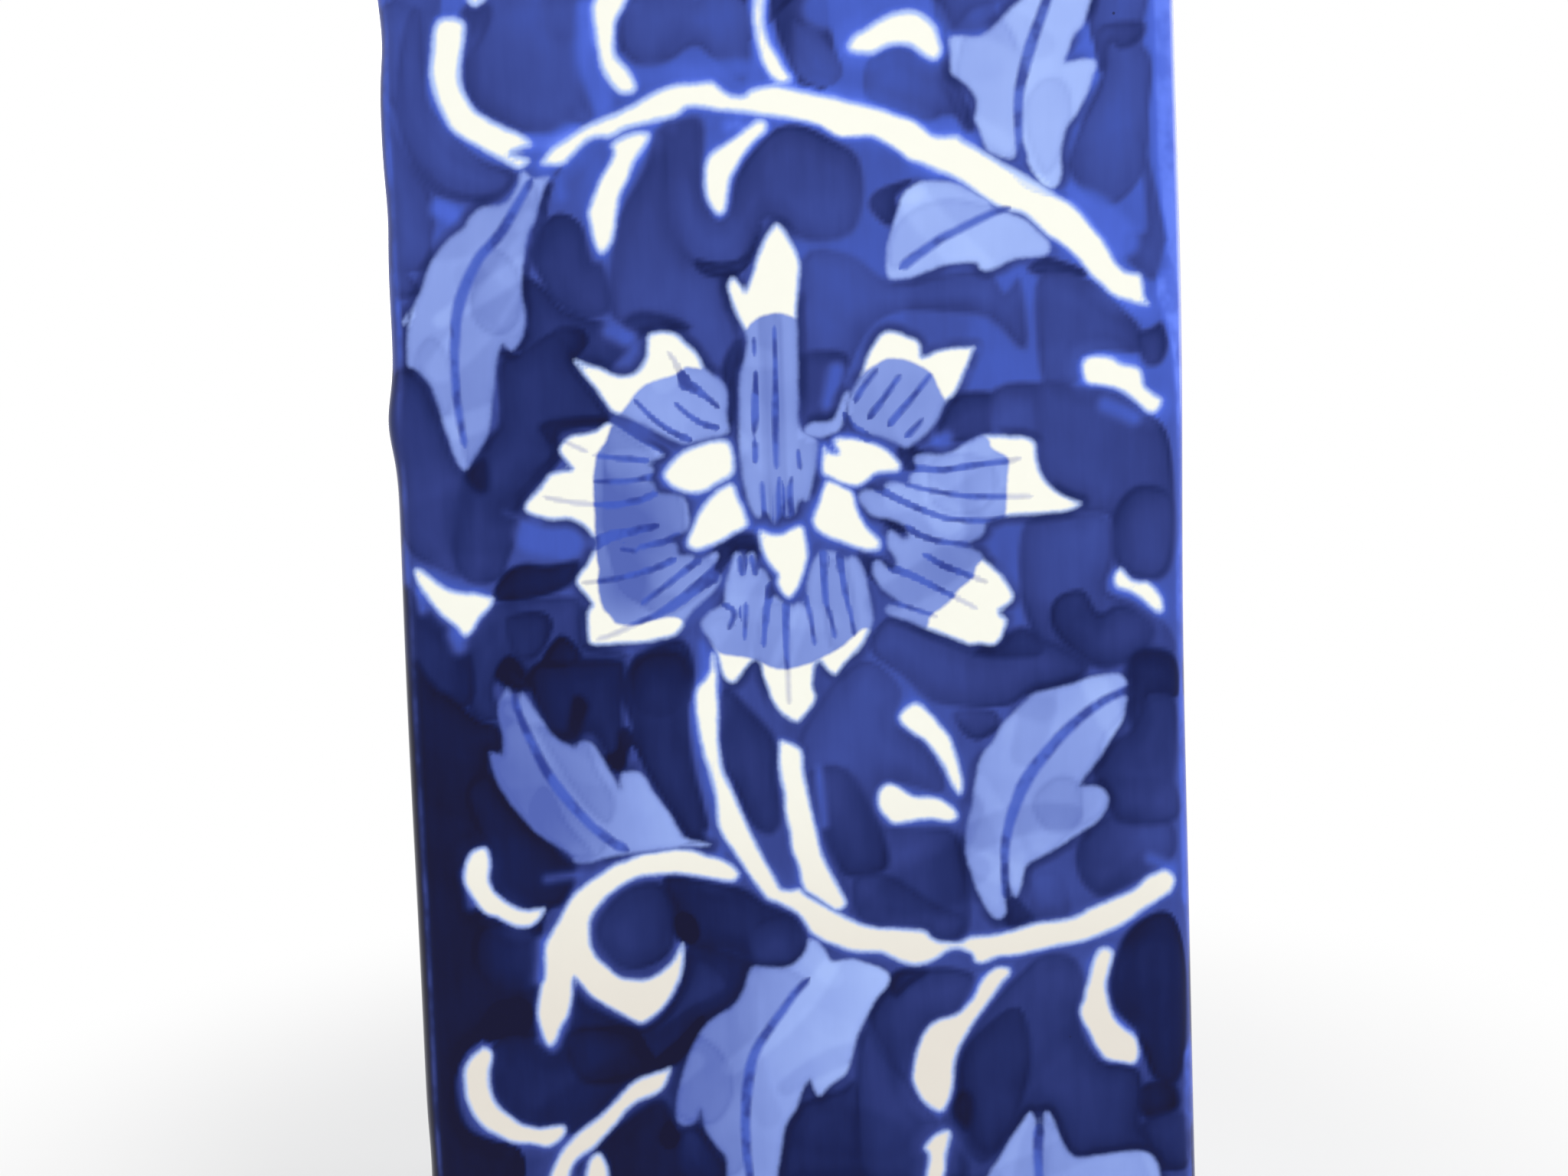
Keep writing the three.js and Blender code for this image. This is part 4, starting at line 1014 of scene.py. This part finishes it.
def paintFace(spots, turns, g):
    sheet = Sheet(spots)
    x, z = spots.T
    layers = {name: sheet.blank() for name in ('bareA', 'bareB', 'tintA', 'tintB', 'washed')}
    tone = np.full(len(spots), 0.55)
    for petalX, petalZ, radius, density in petalTones:
        near = np.exp(-((x - petalX) ** 2 + (z - petalZ) ** 2) / radius ** 2)
        tone = tone + (density - tone) * near
    outlines = [(name, throughPoints(outline)) for name, outline in allShapes.items()]
    outlines += [(name, movedOutline(name, *move)) for name, *move in repeats]
    for name, outline in outlines:
        tinted = name in leaves or name in petals
        layer = ('tint' if tinted else 'bare') + ('B' if name in secondLayer else 'A')
        sheet.addOutline(layers[layer], outline)
        if name in leaves:
            leaf = sheet.blank()
            sheet.addOutline(leaf, outline)
            density, slope = leafTones[name]
            middle = (outline[:, 0].min() + outline[:, 0].max()) / 2
            tone = np.where(leaf > -1.5, density + slope * (x - middle), tone)
            layers['washed'] = np.maximum(layers['washed'], leaf + 4)
    sheet.addOutline(layers['washed'], throughPoints(washEdge), reach=12)
    tone = paintWashes(sheet, tone, turns, g)

    nearest = np.full(len(spots), 9.0)
    side, wide = np.zeros(len(spots)), sheet.blank()
    thinLines = [(veinShape['leafApart'], *vein) for vein in leafVeins]
    thinLines += [(veinShape['petalApart'], *vein) for vein in petalVeins]
    margin = veinShape['near']
    for apart, startWidth, endWidth, line in thinLines:
        line = throughPoints(line, closed=False, steps=3)
        radii = np.linspace(startWidth, endWidth, len(line)) / 2
        low, high = line.min(0) - margin, line.max(0) + margin
        near = np.all((spots > low) & (spots < high), axis=1)
        if near.any():
            kept = nearest[near], side[near], wide[near]
            alongLine(spots[near], line, radii, apart, *kept)
            nearest[near], side[near], wide[near] = kept

    # Double white bands next to the rim and the foot, each with a cobalt line in it
    wander = 0.5 * np.sin(x / 13 + turns) + 0.35 * np.sin(x / 5.2 + 2 * turns)
    for line in (g['lineTop'], g['lineBottom']):
        band = g['clear'] + g['lineWidth'] / 2 - np.abs(z - line - wander)
        for layer in ('tintA', 'tintB', 'washed'):
            layers[layer] = np.minimum(layers[layer], -band)
        layers['bareA'] = np.maximum(layers['bareA'], band)
        offset = z - line - 0.6 * wander
        side = np.where(np.abs(offset) < 5, offset, side)
        wide = np.where(np.abs(offset) < 5, g['lineWidth'] / 2, wide)
    return {**layers, 'side': side, 'wide': wide, 'tone': tone}


def paintGround(spots, motif, turns, g):
    # Depth of the cobalt: 0 where it ran thin, 1 where strokes lie over each other. Painted light
    # and shade are in it too
    sheet = Sheet(spots)
    x, z = spots.T
    # Painted light: the ground paler towards the top and the right
    depth = g['depth'] - g['litPalerUp'] * (z + 20) - g['litPalerRight'] * x
    depth = depth + g['uneven'] * np.sin(x / 23 + z / 31) * np.sin(z / 19 - x / 40)

    softness = g['softChange'] * np.sin(x / 9 + 1.3 * np.sin(z / 14)) * np.sin(z / 11 - x / 37)
    softness = g['softness'] + softness
    pooled = 0.5 + 0.5 * np.sin(x / 17 - z / 8) * np.sin(z / 13 + x / 29 + 2)

    def lay(depth, inside, density, gap):
        covered = np.minimum(inside, -motif - gap)
        rim = np.exp(-((covered - g['rimInside']) / g['rimWidth']) ** 2) * pooled
        inward = smooth(0, g['middleFrom'], covered)
        density = density + g['edgeDeeper'] - g['middlePaler'] * inward
        return depth + (density - depth) * smooth(-softness, softness, covered) + g['rim'] * rim

    seed = g['seed'] + 10 * turns
    shape = g['strokeLength'], g['strokeRadius'], g['strokePoints']
    strokes = looseStrokes(g['strokes'], seed, *shape)
    for line, radii, chance in strokes:     # above and below the middle these make the ground
        stroke = sheet.blank()
        sheet.addStroke(stroke, line, radii, reach=2)
        middle = line[g['strokePoints'] // 2]
        if abs(middle[1]) > g['middle']:
            density = g['strokeDepth'] + g['strokeSpread'] * chance
            # painted light: a stroke is paler the further right and up it lies
            density = density - g['strokeLitFade'] * middle.sum()
            depth = lay(depth, stroke, density, g['strokeGap'])
    rng = np.random.default_rng(g['seed'] + 2)
    for density, outline in patches:        # a full brush at one end, a drier one at the other
        patch = sheet.blank()
        outline = throughPoints(outline, steps=4)
        sheet.addOutline(patch, outline, reach=3)
        angle = rng.uniform(0, 2 * pi)
        middle, reach = (outline.min(0) + outline.max(0)) / 2, np.ptp(outline, axis=0).max() / 2
        along = ((x - middle[0]) * cos(angle) + (z - middle[1]) * sin(angle)) / reach
        density = density + g['drying'] * np.clip(along, -1, 1)
        depth = lay(depth, patch, density, g['patchGap'])
    for radius, density, line in thinPlaces:
        stroke = sheet.blank()
        line = throughPoints(line, closed=False, steps=3)
        sheet.addStroke(stroke, line, np.full(len(line), radius), reach=3)
        depth = depth + (density - depth) * smooth(-1.5, 2.0, stroke) * g['thinning']
    for line, radii, chance in strokes[::4]:
        stroke = sheet.blank()
        sheet.addStroke(stroke, line, radii, reach=2)
        added = g['streakDepth'] * chance - 0.01
        depth = depth + added * smooth(-2, 2, np.minimum(stroke, -motif - 1))
    depth = g['contrastMiddle'] + (depth - g['contrastMiddle']) * g['contrast']
    # Painted shade: the ground deeper towards the lower left
    return depth + g['shadeLowLeft'] * smooth(20, 140, -z - 0.6 * x)


# Walls. The two halves of each rounded corner belong to the walls beside it.
wall = {
    'half': 100.0,                  # mm, from the axis to the flat of a wall
    'corner': 7.0,
    'inner': 91.0,
    'bottom': 20.0,
    'top': 456.0,
    'paintZero': 238.0,             # height of the painting's own zero
    'paintScale': 0.98,             # mm on the wall for one of the painting's
    'flatSteps': 186,
    'cornerSteps': 9,
    'upSteps': 450,
    'innerSteps': (10, 22),
    'fadeEnds': 22.0,               # the walls run true again this close to the rim and the floor
    'bulgeAround': 9,               # mm round the corner that a bulge reaches
    'stripStart': (9, 6),           # degrees over which a corner's pale strip comes up
    'stripEnd': (5, 8),             # and goes
}
sideNames = ['front', 'right', 'back', 'left']
waves = [                           # mm outwards, how many round the stand, mm of height, phase
    (0.30, 2, 71, 0), (0.22, 5, -47, 1), (0.13, 9, 29, 2), (0.10, 14, -21, 0)]
cornerBulges = [                    # on the front left corner: height, reach, mm outwards
    (0, 150, -0.4), (48, 10, 2.0), (100, 10, -0.6), (144, 10, -1.2), (-145, 12, -0.6)]


def waver(around, height, w):       # mm outwards; around is the way round all four walls
    lap = 8 * (w['half'] - w['corner']) + 2 * pi * w['corner']
    turn = 2 * pi * around / lap
    out = 0
    for size, times, rise, phase in waves:
        out = out + size * np.sin(times * turn + height / rise + phase)
    toCorner = (around + lap / 2) % lap - lap / 2
    for middle, reach, outwards in cornerBulges:
        upwards = (height - w['paintZero'] - middle) / reach
        out = out + outwards * np.exp(-upwards ** 2 - (toCorner / w['bulgeAround']) ** 2)
    low = smooth(0, w['fadeEnds'], height - w['bottom'])
    high = smooth(0, w['fadeEnds'], w['top'] - height)
    return out * low * high


def buildWall(turns, w):
    name = sideNames[turns]
    across = w['flatSteps'] + 2 * w['cornerSteps']
    bm = bmesh.new()
    bmesh.ops.create_grid(bm, x_segments=across, y_segments=w['upSteps'], size=1)
    outerEdges = [e for e in bm.edges if e.is_boundary]
    outerFaces = set(bm.faces)
    innerAcross, innerUp = w['innerSteps']
    behind = Matrix.Translation((0, 0, -1))
    bmesh.ops.create_grid(bm, x_segments=innerAcross, y_segments=innerUp, size=1, matrix=behind)
    innerEdges = [e for e in bm.edges if e.is_boundary and e.verts[0].co.z < -0.5]
    bmesh.ops.bridge_loops(bm, edges=outerEdges + innerEdges)
    for face in bm.faces:
        face.smooth = face in outerFaces
        face.material_index = 0 if face in outerFaces else 1
    for edge in outerEdges + innerEdges:
        edge.smooth = False
    mesh = bpy.data.meshes.new(name + '_wall_painted')
    bm.to_mesh(mesh)
    bm.free()

    # From the flat grid to the wall's own shape
    flat = np.zeros(len(mesh.vertices) * 3)
    mesh.vertices.foreach_get('co', flat)
    flat = flat.reshape(-1, 3)
    outer = flat[:, 2] > -0.5
    straight = w['half'] - w['corner']
    cornerArc = w['corner'] * pi / 4
    station = (flat[:, 0] + 1) / 2 * across - across / 2
    beyond = np.clip((np.abs(station) - w['flatSteps'] / 2) / w['cornerSteps'], 0, 1)
    arc = cornerArc * (1 - (1 - beyond) ** 1.5)
    along = np.clip(station / w['flatSteps'] * 2, -1, 1) * straight + np.sign(station) * arc
    height = w['bottom'] + (flat[:, 1] + 1) / 2 * (w['top'] - w['bottom'])
    around = turns * 2 * (straight + cornerArc) + along + straight + cornerArc
    angle = np.sign(station) * arc / w['corner']
    reach = w['corner'] + waver(around, height, w)
    x = np.clip(along, -straight, straight) + reach * np.sin(angle)
    y = -straight - reach * np.cos(angle)
    x = np.where(outer, x, flat[:, 0] * w['inner'])
    y = np.where(outer, y, -w['inner'])
    placed = np.stack([x, y, height], axis=1) * mm
    mesh.vertices.foreach_set('co', placed.ravel())
    mesh.transform(Matrix.Rotation(turns * pi / 2, 4, 'Z'))

    mirrored = -1 if turns % 2 else 1
    spots = np.stack([mirrored * along, height - w['paintZero']], axis=1)[outer] / w['paintScale']
    layers = paintFace(spots, turns, ground)
    motif = np.max([layers[name] for name in ('bareA', 'bareB', 'tintA', 'tintB')], axis=0)
    layers['depth'] = paintGround(spots, motif, turns, ground)
    # The corners' pale strips: thin cobalt, and partly a painted reflection of the surroundings
    layers['edge'] = cornerThinAndSheen(turns, along[outer], spots[:, 1], w)
    for kind, values in layers.items():
        stored = np.zeros(len(flat))
        stored[outer] = values
        layer = mesh.attributes.new(kind, 'FLOAT', 'POINT')
        layer.data.foreach_set('value', stored.astype(np.float32))
    mesh.update()
    piece = bpy.data.objects.new(mesh.name, mesh)
    bpy.context.scene.collection.objects.link(piece)
    mesh.materials.append(paintedGlaze)
    mesh.materials.append(whiteGlaze)
    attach(piece, 'root')
    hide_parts(name + '_wall')
    print(name, 'wall painted,', len(mesh.polygons), 'faces')


# Along a corner the cobalt runs thin over the bend, and the pale strip is partly a painted
# reflection
# of the bright surroundings: height on the painting, degrees round the corner from the left-hand
# wall's flat where the pale strip starts and ends, and how pale it is.
cornerStrips = {
    0: [
        (-222, 56, 70, 0.4), (-95, 60, 70, 0.45), (-75, 58, 70, 0.5), (-60, 56, 68, 0.35),
        (-20, 52, 66, 0.35), (0, 57, 66, 0.2), (10, 48, 62, 0.35), (30, 48, 62, 0.35),
        (45, 60, 66, 0.1), (58, 60, 70, 0.3), (66, 57, 70, 0.5), (75, 57, 70, 0.5),
        (88, 52, 66, 0.3), (115, 46, 66, 0.45), (135, 46, 66, 0.45), (150, 48, 62, 0.2),
        (222, 40, 66, 0.4)],
    1: [
        (-222, 32, 62, 0.35), (-150, 30, 64, 0.5), (-138, 26, 64, 0.6), (-122, 28, 64, 0.6),
        (-116, 56, 66, 0.25), (-100, 56, 66, 0.25), (-88, 44, 66, 0.4), (-80, 32, 65, 0.6),
        (-50, 32, 62, 0.5), (-42, 34, 64, 0.55), (-18, 38, 62, 0.35), (-5, 32, 64, 0.6),
        (6, 34, 66, 0.7), (14, 42, 64, 0.5), (32, 42, 62, 0.5), (46, 36, 66, 0.7),
        (56, 30, 68, 0.8), (62, 24, 68, 0.85), (74, -4, 68, 0.9), (80, 0, 66, 0.85),
        (88, 20, 64, 0.7), (96, 10, 66, 0.7), (110, 4, 66, 0.7), (150, 4, 64, 0.65),
        (222, 16, 60, 0.45)],
    2: [
        (-222, 20, 60, 0.5), (-100, 30, 70, 0.6), (0, 20, 50, 0.4), (100, 10, 60, 0.7),
        (222, 25, 70, 0.5)],
    3: [
        (-222, 30, 70, 0.5), (-80, 15, 60, 0.6), (40, 35, 75, 0.4), (140, 20, 55, 0.7),
        (222, 20, 70, 0.5)],
}


def cornerThinAndSheen(turns, along, z, w):
    straight = w['half'] - w['corner']
    bend = np.degrees((np.abs(along) - straight) / w['corner'])
    startIn, startOut = w['stripStart']
    endIn, endOut = w['stripEnd']
    glow = np.zeros(len(along))
    for side, corner in ((1, (turns + 1) % 4), (-1, turns)):
        angle = bend if side > 0 else 90 - bend
        heights, starts, ends, paleness = np.array(cornerStrips[corner], float).T
        start = np.interp(z, heights, starts)
        end = np.interp(z, heights, ends)
        strip = smooth(start - startIn, start + startOut, angle)
        strip = strip * (1 - smooth(end - endIn, end + endOut, angle))
        strip = strip * np.interp(z, heights, paleness)
        glow = np.where((np.sign(along) == side) & (bend > -30), strip, glow)
    return glow


# Glazes
glaze = {
    'edgeSoft': 0.85,               # mm, half the softness of a painted edge
    'contour': 0.38,                # how far the ground deepens just outside a leaf or petal
    'gloss': 0.07,
    'shine': 0.14,                  # specular level
    'bareColour': srgb(249, 249, 238),
    # painted shade: the bare white as it looks lower down the wall
    'shadedBareColour': srgb(232, 226, 216),
    'bleedColour': srgb(178, 200, 248),
    'ground': [                     # how the cobalt looks by its depth
        (0.00, (146, 174, 255)), (0.18, (104, 134, 247)), (0.33, (79, 105, 213)),
        (0.45, (69, 91, 185)), (0.55, (63, 79, 157)), (0.65, (52, 64, 131)), (0.75, (38, 49, 107)),
        (0.86, (26, 34, 82)), (1.00, (18, 22, 54))],
    'wash': [
        (0.0, (186, 210, 255)), (0.25, (166, 190, 251)), (0.5, (140, 162, 231)),
        (0.75, (114, 134, 205)), (1.0, (86, 104, 182))],
    'veinColour': (66, 92, 194),
    'veinDark': (44, 60, 146),
    'tipVeins': 0.42,               # how firm a vein still is on the bare tips
    'speckColour': srgb(150, 170, 235),
    'ironColour': srgb(20, 22, 50),
    'unevenGloss': 0.05,
    'bump': 0.25,
    'bumpHeight': 0.0002,           # metres
    'sheen': 0.065,                 # what the surroundings add to a colour for each unit of shine
    'deepest': 0.0004,              # least linear value of a colour
}


def underGlaze(colour, g):          # what to paint so that it looks like this under the sheen
    sheen = g['sheen'] * g['shine']
    return tuple(max(value - sheen, g['deepest']) for value in srgb(*colour)[:3]) + (1,)


def makePaintedGlaze(g):
    made, wire = newMaterial('paintedGlaze')
    wander = wire.noise(5.5, 2) - 0.5
    fine = wire.noise(1.3, 1) - 0.5
    cloud = wire.noise(26, 3)
    streak = wire.noise(2.6, 3, wire.place((1, 1, 0.16)))
    ragged = wander * 0.8 + fine * 0.35     # mm that a painted edge strays
    bareShape = wire.stored('bareA').most(wire.stored('bareB')) + ragged
    tintShape = wire.stored('tintA').most(wire.stored('tintB')) + ragged
    shape = bareShape.most(tintShape)
    soft = g['edgeSoft']

    # Ground: thin next to bare shapes here and there, drawn round the tinted ones with a dark line
    thinned = wire.noise(31, 2)
    fringe = bareShape.ramp(-1.9, 0.1) * (0.35 + cloud.ramp(0.3, 0.7) * 0.65)
    bleed = bareShape.ramp(-5.5, -0.4) * thinned.ramp(0.44, 0.68)
    contour = tintShape.ramp(-3.4, -0.5) * (1 - fringe) * wire.noise(15, 2).ramp(0.34, 0.58)
    depth = wire.stored('depth') + (cloud - 0.5) * 0.13 + (streak - 0.5) * 0.06
    depth = depth - fringe * 0.15 - bleed * 0.13
    depth = depth + (1 - depth) * contour * g['contour']
    # Pale corner strips: partly thin cobalt, partly a painted reflection of the bright surroundings
    edge = wire.stored('edge') * (0.45 + wire.noise(8, 2).ramp(0.3, 0.62) * 0.55)
    depth = depth - edge * (depth - 0.14).most(0.0)
    stops = [(place, underGlaze(colour, g)) for place, colour in g['ground']]
    cobalt = wire.node('ValToRGB', {'stops': stops}, {0: depth})

    height = wire.axes()[2]
    upper = height.ramp(0.30, 0.39)     # up there more of the cobalt bled into the bare shapes
    # Painted shade: the bare white turns darker towards the bottom of the wall
    white = wire.mix(height.ramp(0.21, 0.12), g['bareColour'], g['shadedBareColour'])
    kept = shape - upper * 0.4 + (cloud - 0.5) * (1.0 + upper * 1.4)
    bare = wire.mix(kept.ramp(0.1, 1.3), g['bleedColour'], white)
    washDepth = wire.stored('tone') + (streak - 0.5) * 0.05 + (cloud - 0.5) * 0.3
    washDepth = washDepth - shape.ramp(-0.5, 2.0) * 0.10 + 0.11
    stops = [(place, underGlaze(colour, g)) for place, colour in g['wash']]
    washColour = wire.node('ValToRGB', {'stops': stops}, {0: washDepth})
    washed = (wire.stored('washed') + wander * 0.5 + fine * 0.3).ramp(-0.6, 0.6)
    painted = wire.mix(washed * (tintShape - bareShape).ramp(-soft, soft), bare, washColour)

    aside = wire.maths('ABSOLUTE', wire.stored('side') + wander * 0.4)
    vein = (wire.stored('wide') - aside + fine * 0.25).ramp(-1.0, 0.6)
    patchy = wire.noise(6, 2)
    veinColour, veinDark = (underGlaze(g[name], g) for name in ('veinColour', 'veinDark'))
    veinTone = wire.mix(patchy.ramp(0.42, 0.66), veinColour, veinDark)
    offTips = washed.most(1 - tintShape.ramp(-0.5, 0.5))
    firm = g['tipVeins'] + offTips * (1 - g['tipVeins'])
    painted = wire.mix(vein * firm * (0.74 + patchy * 0.26), painted, veinTone)
    colour = wire.mix(shape.ramp(-soft, soft), cobalt, painted)

    speck = wire.specks(9, 0.12, 0.35)
    colour = wire.mix(speck * 0.6, colour, g['speckColour'])
    iron = wire.specks(17, 0.10, 0.45)
    colour = wire.mix(iron * 0.7, colour, g['ironColour'])

    peel = wire.noise(7, 2) * 0.7 + wire.noise(2.2, 1) * 0.15
    bump = wire.bumped(peel - speck * 0.6, g['bump'], g['bumpHeight'])
    rough = g['gloss'] + wire.noise(14, 3).ramp(0.45, 0.8) * g['unevenGloss']
    return finishMaterial(made, wire, {
        'Base Color': colour, 'Roughness': rough, 'Normal': bump, 'Specular IOR Level': g['shine']})


bareGlaze = {
    'body': srgb(243, 244, 239),
    'cool': srgb(230, 236, 240),
    'pooled': srgb(204, 221, 226),  # where the glaze ran thick
    'thin': srgb(222, 208, 184),    # where it drew back from the lip and the clay shows
    'iron': srgb(112, 92, 72),
    'bandHeight': 463.4,            # mm above the table, the cobalt line round the rim
    'bandHalf': 2.6,
    'bandDepth': 0.56,
    'rimOut': 102.0,                # mm from the axis, where the rim's outer side starts
    'lip': (466.5, 469),            # mm above the table, where the glaze draws back
    'unevenGloss': 0.06,
    'bump': 0.3,
    'bumpHeight': 0.0002,
}


def makeWhiteGlaze(g, w):           # the inside, the floor and, with its cobalt line, the rim
    made, wire = newMaterial('whiteGlaze')
    x, y, z = (axis * 1000 for axis in wire.axes())
    x, y = (wire.maths('ABSOLUTE', axis) for axis in (x, y))
    cloud = wire.noise(40, 3)
    run = wire.noise(15, 2, wire.place((1, 1, 0.13)))
    colour = wire.mix(cloud.ramp(0.3, 0.75), w['body'], w['cool'])
    corner = (x + y).ramp(166, 181) * x.most(y).ramp(92, 91.3)
    low = (z + run * 26).ramp(52, 34)
    pooled = corner.most(low) * 0.6 + run.ramp(0.45, 0.75) * 0.16
    colour = wire.mix(pooled, colour, w['pooled'])

    wander = wire.noise(14, 2) - 0.5
    out = x.most(y)
    thin = z.ramp(*w['lip']) * (out.ramp(w['rimOut'], 103.6) + out.ramp(93.0, 91.6))
    thin = thin * wire.noise(9, 3).ramp(0.3, 0.7)
    colour = wire.mix(thin * 0.4, colour, w['thin'])
    offBand = wire.maths('ABSOLUTE', z - w['bandHeight'] + wander * 1.2)
    band = (w['bandHalf'] + wander * 1.6 - offBand).ramp(-0.5, 0.5)
    band = band * out.ramp(w['rimOut'], 102.8)
    depth = w['bandDepth'] + (wire.noise(24, 3) - 0.5) * 0.5
    stops = [(place, underGlaze(tone, g)) for place, tone in g['ground']]
    colour = wire.mix(band, colour, wire.node('ValToRGB', {'stops': stops}, {0: depth}))

    iron = wire.specks(11, 0.08, 0.4)
    colour = wire.mix(iron * 0.7, colour, w['iron'])
    pinhole = wire.specks(7, 0.06, 0.3)
    height = wire.noise(8, 2) + run * 0.6 - pinhole * 0.8
    bump = wire.bumped(height, w['bump'], w['bumpHeight'])
    rough = g['gloss'] + wire.noise(14, 3).ramp(0.45, 0.8) * w['unevenGloss'] + thin * 0.1
    return finishMaterial(made, wire, {
        'Base Color': colour, 'Roughness': rough, 'Normal': bump, 'Specular IOR Level': g['shine']})


clay = {
    'pale': srgb(226, 214, 194),
    'warm': srgb(207, 186, 157),
    'grain': srgb(156, 130, 104),
    'flash': srgb(190, 124, 72),    # the orange line next to the glaze
    'scuffed': srgb(138, 124, 108),
    'flashHeight': (6.5, 8.6),      # mm above the table
    'roughness': 0.82,
    'bump': 0.6,
    'bumpHeight': 0.0003,
}


def makeBareClay(c):
    made, wire = newMaterial('bareClay')
    x, y, z = (axis * 1000 for axis in wire.axes())
    grain = wire.noise(0.9, 4)
    cloud = wire.noise(22, 3)
    colour = wire.mix(cloud.ramp(0.3, 0.7), c['pale'], c['warm'])
    colour = wire.mix(grain.ramp(0.55, 0.8) * 0.4, colour, c['grain'])
    flash = (z + (wire.noise(6, 2) - 0.5) * 3).ramp(*c['flashHeight'])
    flash = flash * wire.noise(18, 2).ramp(0.3, 0.6)
    colour = wire.mix(flash * 0.7, colour, c['flash'])
    scuffed = (z + (cloud - 0.5) * 2).ramp(1.6, 0.2)
    colour = wire.mix(scuffed * 0.45, colour, c['scuffed'])
    bump = wire.bumped(grain, c['bump'], c['bumpHeight'])
    rough = c['roughness'] + grain * 0.1
    return finishMaterial(made, wire, {'Base Color': colour, 'Roughness': rough, 'Normal': bump})


paintedGlaze = makePaintedGlaze(glaze)
whiteGlaze = makeWhiteGlaze(glaze, bareGlaze)
bareClay = makeBareClay(clay)
print('glazes made')

for turns in range(4):
    buildWall(turns, wall)

finishes = {'rim': whiteGlaze, 'slab': whiteGlaze, 'coil': whiteGlaze, 'foot': bareClay}
for name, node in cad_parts.items():
    kind = name.rsplit('_', 1)[-1]
    if kind in finishes:
        node.data.materials.clear()
        node.data.materials.append(finishes[kind])
